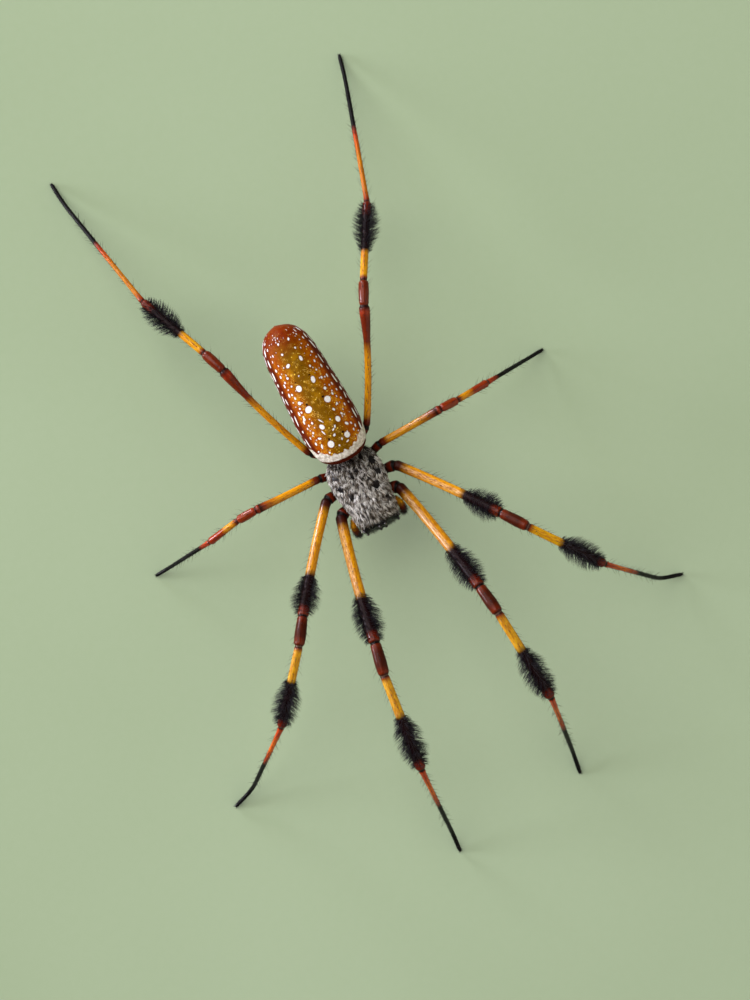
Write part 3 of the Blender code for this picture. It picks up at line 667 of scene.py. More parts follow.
# For hair: lean is the angle out of the skin at the root and tipLean at the tip, in degrees; width is the
# radius at the foot, foot widens the socket, and shares are the places of the rings along a hair
brushes = dict(
    roots={(1, 1): (.62, .975), (1, 3): (.43, .955), (2, 1): (.66, .97), (2, 3): (.42, .95),
           (4, 3): (.37, .95)},
    count=1050,        # on a brush as long as this many mm
    countLength=5.2,
    length=1.6,
    width=0.032, lean=72.0, tipLean=52.0, scatter=0.07, widthRange=(0.7, 1.1), shares=(0.0, 0.35, 0.7, 1.0),
    topShare=0.35,     # how many of the hairs on top are kept
)
setae = dict(step=0.62, rows=5, length=1.05, width=0.025, lean=54.0, tipLean=32.0, scatter=0.08,
             widthRange=(0.8, 1.1), foot=3.8, shares=(0.0, 0.05, 0.45, 1.0))
fuzzRanges = dict(scatter=0.1, lengthRange=(0.6, 1.2), widthRange=(0.8, 1.2))
fuzzLeg = 55       # length in mm of the leg that these counts are for
legFuzz = dict(count=1300, length=0.26, width=0.006, lean=34.0, tipLean=17.0, **fuzzRanges)
footFuzz = dict(count=1100, length=0.36, width=0.01, lean=30.0, tipLean=15.0, **fuzzRanges)


# A group of hairs for addStrands from roots, directions and map places, with lengths, widths and colours
# drawn about those of the style
def hairGroup(rooted, style, colour, draw, spread=0.3, lean=None, lengths=None):
    roots, out, along, place = rooted
    count = len(roots)
    first = leaning(out, along, style["lean"] if lean is None else lean, draw, style["scatter"])
    second = leaning(out, along, style["tipLean"], draw, style["scatter"])
    if lengths is None:
        lengths = style["length"] * draw.uniform(*style.get("lengthRange", (0.6, 1.25)), count)
    widths = style["width"] * draw.uniform(*style.get("widthRange", (0.75, 1.2)), count)
    tints = np.clip(colour * (1 + draw.normal(size=(count, 1)) * spread), 0.001, 1)
    return dict(roots=roots, first=first, second=second, lengths=lengths, widths=widths, tints=tints,
                map=place, draw=draw, foot=style.get("foot", 1.0), shares=style.get("shares", (0.0, 0.5, 1.0)))


# The brush on one segment: roots spread evenly, shorter towards both ends of the brush
def brushGroup(line, pair, part, draw):
    ends = [part + share for share in brushes["roots"][pair, part]]
    low, high = np.interp(ends, line["places"], line["arcs"])
    count = int(brushes["count"] * (high - low) / brushes["countLength"])
    shares = draw.uniform(0, 1, count)
    arcs = low + (high - low) * shares
    angles = draw.uniform(0, 2 * math.pi, count)
    kept = draw.uniform(0, 1, count) > (1 - brushes["topShare"]) * bell(angles, math.pi / 2, 0.7)
    shares, arcs, angles = shares[kept], arcs[kept], angles[kept]
    count = len(shares)
    lean = brushes["lean"] + draw.normal(size=count) * 9
    reach = (0.42 + 0.58 * ease(shares, 0, 0.3)) * (1 - 0.55 * ease(shares, 0.6, 1.0))
    lengths = brushes["length"] * reach * draw.uniform(0.72, 1.12, count)
    return hairGroup(legRoots(line, arcs, angles), brushes, paint(26, 22, 26), draw, 0.3, lean, lengths)


# Stiff single hairs in lengthwise rows, each on a dark socket that shows as a dot
def setaGroup(line, draw):
    low, high = np.interp((1.08, 4.9), line["places"], line["arcs"])
    perRow = int((high - low) / setae["step"])
    rows = np.repeat(np.arange(setae["rows"]), perRow)
    steps = np.tile(np.arange(perRow), setae["rows"]) + draw.uniform(0.1, 0.9, len(rows))
    arcs = low + steps * setae["step"]
    angles = (rows + 0.25) * 2 * math.pi / setae["rows"] + draw.normal(size=len(rows)) * 0.16
    kept = draw.uniform(0, 1, len(rows)) < 0.72
    arcs, angles = arcs[kept], angles[kept]
    lengths = setae["length"] * draw.uniform(0.6, 1.15, len(arcs))
    return hairGroup(legRoots(line, arcs, angles, 0.0), setae, paint(24, 16, 15), draw, 0.2, lengths=lengths)


# Short hair all round a leg between two places
def fuzzGroup(line, low, high, count, style, colour, draw):
    low, high = np.interp((low, high), line["places"], line["arcs"])
    arcs = draw.uniform(low, high, count)
    angles = draw.uniform(0, 2 * math.pi, count)
    return hairGroup(legRoots(line, arcs, angles), style, colour, draw)


# The three claws of a foot as paths: two that curve down beside each other and a small one between them
def clawPaths(line):
    tip, along = line["points"][-4], line["tangents"][-4]
    level = unit(along * np.array((1, 1, 0.35)))
    sideways = line["across"][-4]
    paths = []
    for offset, length in ((0.09, 0.42), (-0.09, 0.42), (0.0, 0.26)):
        shares = np.linspace(0, 1, 9)[:, None]
        path = tip + sideways * offset * (1 + shares) + level * length * shares
        path[:, 2] = np.maximum(path[:, 2] - 0.14 * shares[:, 0] ** 2, floorZ + 0.05)
        paths.append(path)
    return paths


# A tube about a path: rings across it with the given radii
def tubeGrid(path, radii, sides, up=(0, 0, 1)):
    tangents = unit(np.gradient(path, axis=0))
    across = unit(np.cross(tangents, up))
    rim = ringRim(across, np.cross(across, tangents), sides)
    return path[:, None] + rim * np.asarray(radii)[:, None, None]


# Several closed grids as one piece, with a colour for each ring of each grid
def addTubes(name, grids, material, covers, tints):
    points, faceGroups, offset, tintRows = [], [], 0, []
    for grid, ringTints in zip(grids, tints):
        points.append(ringPoints(grid))
        faceGroups += [faces + offset for faces in ringFaces(*grid.shape[:2])]
        offset += len(points[-1])
        tintRows.append(withEnds(np.broadcast_to(ringTints[:, None], grid.shape)))
    points = np.vstack(points)
    piece = addPiece(name, points, faceGroups, material, covers)
    setTints(piece, np.vstack(tintRows))
    setPlaces(piece, points)


# Points evenly spaced by arc along a bent line, with its corners rounded
def evenLine(points, count, passes):
    points = np.asarray(points, dtype=float)
    arcs = np.concatenate([[0], np.cumsum(np.linalg.norm(np.diff(points, axis=0), axis=1))])
    even = np.linspace(0, arcs[-1], count)
    line = np.stack([np.interp(even, arcs, points[:, axis]) for axis in range(points.shape[1])], axis=-1)
    return softened(line, passes)


clawGrids = []
for side in sideSigns:
    for pair in legs["lengths"]:
        draw = np.random.default_rng(seed + pair * 10 + sideSigns[side])
        line = legLine(side, pair)
        legSkin(side, pair, line)
        groups = [brushGroup(line, pair, part, draw) for part in (1, 3) if (pair, part) in brushes["roots"]]
        if groups:
            addStrands(f"leg_{side}_{pair}_brush", groups, blackHairMaterial)
        scale = line["arcs"][-1] / fuzzLeg
        groups = [setaGroup(line, draw),
                  fuzzGroup(line, 1.02, 4.5, int(legFuzz["count"] * scale), legFuzz, paint(70, 40, 24), draw),
                  fuzzGroup(line, 0.05, 1.0, 220, legFuzz, paint(60, 34, 28), draw),
                  fuzzGroup(line, 4.35, 5.97, int(footFuzz["count"] * scale), footFuzz, paint(24, 20, 20),
                            draw)]
        addStrands(f"leg_{side}_{pair}_hair", groups, blackHairMaterial)
        clawGrids += [tubeGrid(path, np.linspace(1, 0.12, 9) * 0.05, 8) for path in clawPaths(line)]
clawTints = [np.repeat(paint(26, 16, 14)[None], 9, axis=0)] * len(clawGrids)
addTubes("claws", clawGrids, hornMaterial, (), clawTints)
print("legs made")

# The abdomen
abdomen = dict(
    # place along Y, half width, half height, height of the middle
    stations=((0.1, 1.3, 1.0, 12.9), (0.35, 2.3, 1.7, 12.6), (0.95, 3.0, 2.45, 12.25),
              (2.0, 3.45, 3.0, 12.0), (3.6, 3.7, 3.4, 11.8), (6.0, 3.75, 3.5, 11.65),
              (9.0, 3.6, 3.45, 11.5), (12.0, 3.4, 3.3, 11.35), (14.2, 3.25, 3.15, 11.25),
              (15.8, 2.9, 2.85, 11.2), (16.9, 2.3, 2.3, 11.2), (17.5, 1.6, 1.65, 11.25),
              (17.85, 0.75, 0.8, 11.3)),
    lean=0.42, leanEnd=5.0, middle=0.1, sway=-0.35, rings=290, sides=300, coatDepth=0.03,
)
# White spots of the back from above: x from the middle line, y, half length, half width, turn in degrees
namedSpots = (
    (-0.7, 15.79, .16, .1, 10), (-0.88, 14.47, .15, .12, 0), (-0.94, 12.94, .27, .2, 60),
    (-1.71, 11.68, .15, .13, 0), (-1.13, 9.94, .38, .34, 0), (-1.91, 8.38, .22, .19, 0),
    (-1.33, 7.21, .44, .38, 60), (-0.98, 2.33, .42, .38, 0), (0.69, 15.79, .2, .11, 20),
    (0.88, 14.5, .15, .11, 0), (0.86, 13.06, .32, .18, 0), (1.37, 11.75, .15, .12, 0),
    (0.9, 10.14, .42, .25, 10), (1.63, 8.56, .2, .17, 0), (1.26, 7.26, .4, .38, 0),
    (1.31, 5.85, .2, .12, -20), (1.2, 4.62, .36, .28, 0), (1.86, 3.67, .24, .16, -30),
    (1.26, 2.45, .36, .34, 0), (-0.94, 4.63, .36, .26, -25), (-0.72, 5.35, .42, .07, -32),
    (-1.12, 3.95, .36, .08, -18), (-0.1, 3.1, .2, .13, 50), (0.45, 4.0, .2, .1, 30),
    (0.1, 3.75, .16, .1, 60), (0.5, 2.3, .16, .1, 20), (-0.15, 1.75, .12, .1, 0),
    (0.95, 1.75, .22, .09, 70), (0.35, 5.0, .1, .08, 0), (-1.85, 3.55, .24, .12, -60),
    (-2.05, 2.6, .3, .1, 15), (-1.6, 1.5, .14, .11, 0), (-2.2, 4.5, .15, .12, 0),
    (-1.75, 5.6, .17, .12, 0), (-2.35, 6.4, .2, .14, 0), (-2.25, 7.3, .14, .11, 0),
    (1.9, 5.0, .18, .11, -20), (2.0, 6.3, .16, .11, 0), (2.1, 7.6, .17, .12, 0), (1.9, 9.9, .16, .13, 0),
    (-2.2, 9.7, .16, .11, 0), (-1.75, 10.6, .12, .09, 40), (1.8, 11.0, .13, .1, 0),
    (-0.4, 11.3, .12, .07, 50),
)
darkPits = ((-1.12, 10.75, .1, .08), (-1.22, 7.85, .17, .12), (-0.9, 2.93, .17, .12), (0.78, 10.85, .09, .14),
            (0.93, 7.78, .13, .17), (0.98, 2.98, .13, .16), (-0.55, 11.9, .06, .06), (0.55, 12.2, .05, .06))


# Distance outside an ellipse, roughly: (its stretched radius - 1) times its mean half size, negative inside
def ellipseDistance(x, y, spot):
    turn = math.radians(spot[4]) if len(spot) > 4 else 0.0
    along = (y - spot[1]) * math.cos(turn) + (x - spot[0]) * math.sin(turn)
    across = (x - spot[0]) * math.cos(turn) - (y - spot[1]) * math.sin(turn)
    return (np.hypot(along / spot[2], across / spot[3]) - 1) * math.sqrt(spot[2] * spot[3])


# Distance outside the nearest of several ellipses, 3 at most
def nearestEllipse(x, y, ellipses):
    nearest = np.full(x.shape, 3.0)
    for ellipse in ellipses:
        nearest = np.minimum(nearest, ellipseDistance(x, y, ellipse))
    return nearest


# The long round body: rings of half width * cos a and half height * sin a whose tops lean at the front. Rings
# crowd towards both ends, where the section shrinks to a point like the end of an egg
def abdomenGrid():
    marks = np.array(abdomen["stations"])
    shares = np.linspace(0, 1, abdomen["rings"])
    front, rear = marks[0, 0] - 0.14, marks[-1, 0] + 0.2
    y = front + (rear - front) * (0.5 - 0.5 * np.cos(math.pi * shares))
    places = np.concatenate([[front], marks[:, 0], [rear]])
    table = np.vstack([marks[0, 1:] * (0, 0, 1), marks[:, 1:], marks[-1, 1:] * (0, 0, 1)])
    profile = softened(np.stack([np.interp(y, places, table[:, column]) for column in range(3)], axis=-1), 14)
    # ends: the half width follows the square root of the distance from the end
    ends = np.sqrt(np.clip((y - front) / 0.45, 0, 1)) * np.sqrt(np.clip((rear - y) / 0.5, 0, 1))
    near = np.maximum(ease(y, front + 0.5, front), ease(y, rear - 0.5, rear))
    width = profile[:, 0] * (1 - near * 0.2 * (1 - ends)) - abdomen["coatDepth"]
    height = profile[:, 1] * (1 - near * 0.2 * (1 - ends)) - abdomen["coatDepth"]
    angles = np.arange(abdomen["sides"]) * 2 * math.pi / abdomen["sides"]
    lean = abdomen["lean"] * np.clip(1 - y / abdomen["leanEnd"], 0, 1)
    middle = abdomen["middle"] + abdomen["sway"] * (np.maximum(y, 0) / marks[-1, 0]) ** 1.3
    x = np.maximum(width, 0.02)[:, None] * np.cos(angles)
    rise = np.maximum(height, 0.02)[:, None] * np.sin(angles)
    # underside: two covers of the book lungs, the furrow behind them and a small knob between
    below = ease(-np.sin(angles), 0.25, 0.7)[None]
    arc = np.abs(x)
    covers = bell(np.hypot((arc - 1.55) / 1.0, (y[:, None] - 2.9) / 1.35), 0, 0.85)
    furrow = bell(y[:, None], 4.75 - 0.12 * arc, 0.14)
    knob = bell(np.hypot(arc / 0.9, (y[:, None] - 4.1) / 0.6), 0, 0.8)
    rise = rise - below * (0.16 * covers - 0.16 * furrow + 0.3 * knob)
    grid = np.stack([middle[:, None] + x, y[:, None] - lean[:, None] * rise, profile[:, 2:] + rise], axis=-1)
    relief = dict(covers=covers * below, knob=knob * below, furrow=furrow * below)
    return grid, x, np.broadcast_to(angles, x.shape), relief


# Rows of white dashes on the flanks: angle up from the side in degrees, half length, half width, gap
dashRows = ((61, .08, .08, .8), (52, .12, .12, .45), (42, .18, .14, .32), (27, .44, .18, .24),
            (11, .46, .22, .26), (-4, .3, .2, .2), (-16, .3, .16, .24))


# Dashes in rows along both flanks and specks round the rear, each as side, angle, y, half sizes and turn
def flankDashes(draw):
    dashes = []
    for sign in (1, -1):
        for height, long, wide, gap in dashRows:
            y = 1.7 + draw.uniform(0, 0.6)
            while y < 16.6:
                length = long * draw.uniform(0.3, 1.6)
                size = wide * draw.uniform(0.55, 1.15)
                dashes.append((sign, height + draw.normal() * 2.2, y + length, length, size,
                               draw.normal() * 8))
                y += length * 2 + gap * draw.uniform(0.5, 2.4) + 0.1
    for speck in range(46):
        turn = draw.uniform(0, 2 * math.pi)
        dashes.append((1 if math.cos(turn) > 0 else -1, math.degrees(math.asin(math.sin(turn))) * 0.95,
                       draw.uniform(15.6, 17.6), draw.uniform(.05, .11), draw.uniform(.04, .08), 0))
    return dashes


# The yellow-white flecks of the belly, most of them in two rows
def bellyFlecks(draw):
    flecks = []
    for fleck in range(240):
        x, y = draw.uniform(-3.0, 3.0), draw.uniform(5.2, 16.5)
        if abs(abs(x) - 1.55) < 0.75 or draw.uniform() < 0.35:
            size = draw.uniform(0.05, 0.16)
            flecks.append((x, y, size * draw.uniform(1, 2.4), size, draw.normal() * 25))
    return flecks


grid, x, angles, relief = abdomenGrid()
y = grid[..., 1]
draw = np.random.default_rng(seed + 5)
dorsal = ease(np.sin(angles), 0.55, 0.8) * ease(y, 0.8, 1.3) * (1 - 0.8 * ease(y, 12.5, 15.5))
back = np.sin(angles) > 0
spots = np.where(back, nearestEllipse(x, y, namedSpots), 3.0)
pits = np.where(back, nearestEllipse(x, y, darkPits), 3.0)
halfSize = 3.5      # turns an angle round the flank into a length
for sign, height, dashY, long, wide, turn in flankDashes(draw):
    around = np.where(np.cos(angles) * sign > 0, np.degrees(np.arcsin(np.sin(angles))), 400)
    dash = (0, dashY, long, wide, turn)
    spots = np.minimum(spots, ellipseDistance(np.radians(around - height) * halfSize, y, dash))
# the pale band: a strip along the front of the back, thicker at the sides, wavy at its rear edge
frontEdge = np.interp(np.abs(x), (0, 1.2, 2.2, 3.0, 3.6), (.1, .22, .52, 1.04, 1.85))
wave = 0.11 * np.sin(x * 5.2 + 1.0) + 0.1 * np.sin(x * 9.1)
rearEdge = np.interp(np.abs(x), (0, 1.2, 2.2, 3.0, 3.6), (.86, .98, 1.6, 2.25, 3.05)) + wave
band = np.abs(y - (frontEdge + rearEdge) / 2) - (rearEdge - frontEdge) / 2
band = np.maximum(band, 0.5 - 4 * (np.sin(angles) - 0.02))
band = np.where(back, band, 3.0)
olive, brightOrange, rearRed = paint(124, 84, 1), paint(168, 80, 1), paint(120, 40, 1)
flankRed, bellyBrown, frontRed = paint(92, 22, 3), paint(62, 32, 20), paint(78, 20, 4)
up = np.sin(angles)
tints = tinted(olive, brightOrange, ease(np.abs(x), 0.5, 2.4))
tints = tinted(tints, rearRed, ease(y, 13.2, 16.6))
tints = tinted(tints, flankRed, ease(up, 0.74, 0.5) * ease(y, 17.2, 14.5))
tints = tinted(tints, rearRed * 0.75, ease(up, 0.5, 0.2) * ease(y, 14.5, 17.2))
tints = tinted(tints, bellyBrown, ease(up, -0.1, -0.42))
tints = tinted(tints, frontRed, (y < frontEdge) * 1.0)
# the belly: flecks, a pale cross bar behind the furrow, dark covers and knob
flecks = nearestEllipse(x, y, bellyFlecks(draw))
crossBar = ellipseDistance(x, y, (0, 5.35, 0.16, 1.9, 0)) + 0.05 * np.sin(x * 9)
spots = np.where(up < -0.3, np.minimum(spots, np.minimum(flecks, crossBar)), spots)
dark = np.clip(relief["covers"] * 0.8 + relief["knob"] + relief["furrow"] * 0.7, 0, 1)
tints = tinted(tints, paint(40, 20, 16), dark)
addSkin("abdomen_skin", grid, abdomenSkinMaterial, "abdomen", ["abdomen"], tints, grid, dorsal=dorsal,
        spots=spots, pits=pits, band=band)


# Random roots on a closed grid of rings, with the normal, the direction along it and the map place.
# The weight of each cell is its area times the density asked for
def gridRoots(grid, density, count, draw, sink=0.02):
    around = np.roll(grid, -1, axis=1) - grid
    alongStep = grid[1:] - grid[:-1]
    normals = np.cross(around[:-1], alongStep)
    middle = grid.mean(axis=(0, 1))
    if np.einsum("ijk,ijk->", normals, grid[:-1] - middle) < 0:
        normals = -normals
    areas = np.linalg.norm(normals, axis=-1)
    weights = (areas * density[:-1]).ravel()
    chosen = draw.choice(len(weights), size=count, p=weights / weights.sum())
    row, column = np.divmod(chosen, grid.shape[1])
    up, over = draw.uniform(0, 1, (2, count))
    roots = grid[row, column] + around[row, column] * over[:, None] + alongStep[row, column] * up[:, None]
    out = unit(normals[row, column])
    place = np.column_stack([(column + over) / grid.shape[1], (row + up) / grid.shape[0]])
    return roots - out * sink, out, unit(alongStep[row, column]), place


# Hair on a closed grid, lying along the order of its rings or the way that the function along gives
def skinHairs(grid, density, count, style, colour, draw, along=None, spread=0.3):
    roots, out, down, place = gridRoots(grid, density, count, draw)
    if along is not None:
        down = along(roots, out)
    return hairGroup((roots, out, down, place), style, colour, draw, spread)


abdomenHair = dict(length=0.24, width=0.006, lean=34.0, tipLean=16.0, scatter=0.12)
density = np.where(back, 1.0, 1.4)
groups = [skinHairs(grid, density, count, abdomenHair, colour, draw)
          for count, colour in ((1000, paint(120, 80, 44)), (2200, paint(70, 34, 14)))]
addStrands("abdomen_hair", groups, paleHairMaterial)
print("abdomen made")

# The front body: the dome of the carapace above, the core with the sternum below, in one closed skin
prosoma = dict(
    # place along Y, half width, height of the top
    stations=((0.55, 2.1, 10.85), (0.25, 2.75, 11.15), (-0.5, 3.15, 11.7), (-1.5, 3.38, 12.25),
              (-2.6, 3.44, 12.4), (-3.8, 3.3, 12.45), (-5.0, 3.0, 12.75), (-6.2, 2.85, 13.0),
              (-7.3, 2.75, 12.95), (-8.2, 2.55, 12.6), (-8.75, 2.3, 12.1), (-9.05, 1.95, 11.7)),
    base=10.35, rings=230, domeSides=130, coatDepth=0.1,
)
# Bare dark spots between the silver hair: x, y, half length, half width
bareSpots = ((-2.44, -1.48, .26, .36), (-2.45, -2.87, .42, .32), (-1.63, -4.27, .48, .35),
             (2.45, -1.42, .6, .34), (2.5, -2.86, .5, .4), (1.49, -4.26, .58, .46), (2.05, -5.98, .34, .28),
             (-0.55, -1.9, .66, .2), (0.2, -1.6, .46, .18))


# A corner rounded from 0 to 1 over a length from an end: the rise of a quarter circle
def roundedEnd(share):
    return np.sqrt(1 - (1 - np.clip(share, 0, 1)) ** 2)


# The front body's rings: down each side a dome of width * cos a and height * sin a, a shelf under its rim, a
# wall beside the core and a round belly, then smoothed and drawn in at both ends
def prosomaGrid():
    marks = np.array(prosoma["stations"])[::-1]
    front, rear = -9.12, 0.68
    shares = np.linspace(0, 1, prosoma["rings"])
    y = front + (rear - front) * (0.5 - 0.5 * np.cos(math.pi * shares)) ** 0.92
    width = softened(np.interp(y, marks[:, 0], marks[:, 1]), 10) - prosoma["coatDepth"]
    top = softened(np.interp(y, marks[:, 0], marks[:, 2]), 10) - prosoma["coatDepth"]
    coreWidth = np.interp(y, (-9.1, -8.2, -7.4, -7.0), (1.5, 1.5, 1.2, 1.0))
    coreWidth = softened(np.where(y > -7.0, coreHalfWidth(y), coreWidth), 12)
    low = softened(np.interp(y, (-9.1, -7.6, -7.05, -6.7, 0.3, 0.75), (10.0, 9.8, 7.9, 7.3, 7.3, 7.9)), 8)
    base = prosoma["base"]
    dome = np.linspace(math.pi / 2, 0, prosoma["domeSides"] // 2)
    domeX = width[:, None] * np.cos(dome) ** 0.85
    domeZ = base + (top - base)[:, None] * np.sin(dome) ** 0.8
    under = np.linspace(0, 1, 14)[1:]
    underX = width[:, None] + (coreWidth - width)[:, None] * under
    underZ = np.broadcast_to(base - 0.42 * np.sin(under * math.pi / 2), underX.shape)
    edge = np.minimum(low + 0.5, 9.9)
    sideX = np.broadcast_to(coreWidth[:, None], underX.shape)
    sideZ = underZ[:, -1:] + (edge[:, None] - underZ[:, -1:]) * under
    bottom = np.linspace(0, math.pi / 2, 22)[1:]
    bottomX = coreWidth[:, None] * np.cos(bottom) ** 0.8
    bottomZ = edge[:, None] + (low - edge)[:, None] * np.sin(bottom)
    halfX = np.hstack([domeX, underX, sideX, bottomX])
    halfZ = np.hstack([domeZ, underZ, sideZ, bottomZ])
    x = np.hstack([halfX, -halfX[:, -2:0:-1]])
    z = np.hstack([halfZ, halfZ[:, -2:0:-1]])
    for turn in range(2):
        x = (np.roll(x, 1, axis=1) + 2 * x + np.roll(x, -1, axis=1)) / 4
        z = (np.roll(z, 1, axis=1) + 2 * z + np.roll(z, -1, axis=1)) / 4
    # the ends shrink towards a point like the end of an egg
    shrink = roundedEnd((y - front) / 0.42) * roundedEnd((rear - y) / 0.4)
    shrink = np.maximum(shrink, 0.02)[:, None]
    centre = np.where(y < -4, 10.9, 10.2)[:, None]
    x = x * shrink
    z = centre + (z - centre) * shrink
    flatY = np.broadcast_to(y[:, None], x.shape)
    # grooves: a pit in the middle, six fan-like hollows, and a seam either side of the raised head
    onTop = ease(z, 10.6, 11.4)
    pit = bell(np.hypot(x / 0.5, (flatY + 2.3) / 0.28), 0, 1.0)
    turn = np.arctan2(np.abs(x), -(flatY + 2.3))
    reach = np.hypot(x, flatY + 2.3)
    fans = sum(bell(turn, angle, 0.1) for angle in (0.95, 1.5, 2.1))
    fans = fans * ease(reach, 0.5, 1.0) * ease(reach, 3.3, 2.2)
    seam = bell(np.abs(x) - (0.35 + (-2.6 - flatY) * 0.62), 0, 0.16)
    seam = seam * ease(flatY, -6.0, -5.0) * ease(flatY, -2.5, -3.0)
    z = z - onTop * (0.34 * pit + 0.13 * fans + 0.2 * seam)
    return np.stack([x, flatY, z], axis=-1)


# Eyes: the way each left one looks and its radius
eyes = {
    "front_middle": ((0.1, -1.0, 0.1), 0.2),
    "back_middle": ((0.1, -0.8, 1.0), 0.2),
    "front_side": ((0.5, -1.0, 0.0), 0.18),
    "back_side": ((0.8, -0.7, 0.5), 0.18),
}


# The middle of an eye's ball: the centre of its node's box, stepped back along its look
def eyeCentre(side, eye):
    low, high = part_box(f"eye_{side}_{eye}")
    middle = (np.array(low) + np.array(high)) / 2 / mm - bodyShift
    look, radius = eyes[eye]
    return middle - unit(mirrored(look, side)) * radius * 0.4


grid = prosomaGrid()
# low mounds under the eyes and a row of small bumps along the black front edge
draw = np.random.default_rng(seed + 6)
for side in sideSigns:
    for eye, (look, radius) in eyes.items():
        centre = eyeCentre(side, eye)
        look = unit(mirrored(look, side))
        away = np.linalg.norm(grid - (centre - look * 0.42), axis=-1)
        grid = grid + look * (0.4 * bell(away, 0, 0.38))[..., None]
for knob in range(26):
    centre = np.array((draw.uniform(-2.3, 2.3), -8.95, draw.uniform(10.7, 11.9)))
    away = np.linalg.norm(grid - centre, axis=-1)
    rise = draw.uniform(0.04, 0.1) * bell(away, 0, draw.uniform(0.14, 0.26))
    grid = grid + np.array((0, -0.8, 0.4)) * rise[..., None]
x, y, z = grid[..., 0], grid[..., 1], grid[..., 2]
shellDark, shellRim, headBlack = paint(15, 11, 11), paint(84, 40, 30), paint(8, 7, 8)
tints = np.broadcast_to(shellDark, grid.shape) * (1 + 0.25 * unevenness(grid, 1.2, draw))[..., None]
rim = bell(z, 10.33, 0.16) * ease(y, -8.3, -7.4)
tints = tinted(tints, shellRim, rim)
tints = tinted(tints, headBlack, ease(y, -8.3, -8.6))
tints = tinted(tints, deepMaroon, ease(z, 10.1, 9.8))
sternumMarks = ease(z, 7.9, 7.5) * bell(np.hypot(x / 0.9, (y + 3.2) / 3.0), 0, 0.9)
sternumMarks = 0.7 * sternumMarks * ease(unevenness(grid, 1.0, draw), -0.2, 0.5)
tints = np.clip(tinted(tints, paint(122, 78, 34), sternumMarks), 0.001, 1)
addSkin("carapace_skin", grid, carapaceSkinMaterial, "carapace", ["carapace", "sternum"], tints, grid)

# Silver hair: flat strokes that point forward and fan outwards, in clumps, with gaps of bare shell
silverHair = dict(length=0.6, width=0.03, lean=26.0, tipLean=4.0, scatter=0.2, shares=(0.0, 0.4, 0.75, 1.0))
silverFine = dict(length=0.42, width=0.011, lean=30.0, tipLean=10.0, scatter=0.2)
silverPieces = 3
silverCount = 3400     # broad strokes in each piece
silverFineCount = 2400


# Forward and outwards by a share of the distance from the middle line, turned by slow waves so that it clumps
def silverLie(roots, out):
    waves = unevenness(roots, 0.9, np.random.default_rng(seed + 8))
    wide = unevenness(roots, 2.4, np.random.default_rng(seed + 9))
    turn = 0.45 * waves + 0.25 * wide
    fan = roots[:, 0] * 0.16 * ease(roots[:, 1], -1.0, -6.0)
    forward = np.column_stack([np.sin(turn) + fan, -np.cos(turn), np.zeros(len(roots))])
    return unit(forward - out * np.einsum("ij,ij->i", forward, out)[:, None])


# White, tan or dark hair in long clumps: 0, 1 or 2 by a wave over the place, slower along Y than across
def silverKind(roots, draw):
    waves = unevenness(roots * np.array((1.0, 0.45, 1.0)), 0.34, np.random.default_rng(seed + 11))
    waves = waves + draw.normal(size=len(roots)) * 0.3 - 0.16 * ease(roots[:, 1], -5.2, -7.6)
    return np.where(waves > 0.08, 0, np.where(waves > -0.62, 1, 2))


bare = nearestEllipse(x, y, bareSpots)
clumps = unevenness(grid, 0.5, draw)
density = ease(z, 10.2, 10.6) * ease(bare, -0.02, 0.12) * (0.4 + 0.6 * ease(clumps, -0.8, 0.5))
density = density * ease(y, -8.42, -8.05)
density = density * (1 + 0.25 * bell(np.hypot(x / 0.8, (y + 5.6) / 1.9), 0, 1))
# fewer silver hairs at the rear, under the front of the abdomen, so that more dark shell shows there: painted
# shade of the overhanging abdomen
density = density * (1 - 0.55 * ease(y, -1.7, -0.3)) + 1e-6
silvers = (paint(238, 234, 226), paint(122, 107, 88), paint(40, 34, 31))
for number in range(silverPieces):
    draw = np.random.default_rng(seed + 30 + number)
    group = skinHairs(grid, density, silverCount, silverHair, silvers[0], draw, silverLie, 0.2)
    kind = silverKind(group["roots"], draw)
    group["tints"] = group["tints"] * (np.array(silvers)[kind] / silvers[0])
    fine = skinHairs(grid, density, silverFineCount, silverFine, silvers[1], draw, silverLie, 0.3)
    fine["tints"] = fine["tints"] * (np.array(silvers)[silverKind(fine["roots"], draw)] / silvers[1])
    addStrands(f"carapace_hair_{number + 1}", [group, fine], paleHairMaterial)
sternumHair = dict(length=0.45, width=0.009, lean=40.0, tipLean=20.0, scatter=0.2)
lowDensity = ease(z, 10.35, 10.1) + 1e-6
draw = np.random.default_rng(seed + 40)
group = skinHairs(grid, lowDensity, 1500, sternumHair, paint(96, 80, 64), draw)
addStrands("sternum_hair", [group], paleHairMaterial)
frontDensity = ease(y, -8.3, -8.7) * ease(z, 10.2, 10.5) + 1e-6
faceHair = dict(length=0.5, width=0.012, lean=60.0, tipLean=35.0, scatter=0.15)
group = skinHairs(grid, frontDensity, 420, faceHair, paint(40, 34, 32), draw)
addStrands("face_hair", [group], blackHairMaterial)
print("carapace made")

# Eyes: glossy balls sunk in their mounds
for side in sideSigns:
    for eye, (look, radius) in eyes.items():
        centre = eyeCentre(side, eye)
        turns = np.linspace(0.02, math.pi - 0.02, 16)
        look = unit(mirrored(look, side))
        path = centre + look * np.cos(turns)[:, None] * -radius
        across = unit(np.cross(look, (0.3, 0.1, 0.9)))
        rim = ringRim(across, np.cross(across, look), 28)
        ball = path[:, None] + rim[None] * (np.sin(turns) * radius)[:, None, None]
        addPiece(f"eye_{side}_{eye}_lens", ringPoints(ball), ringFaces(*ball.shape[:2]), eyeLensMaterial,
                 [f"eye_{side}_{eye}"])

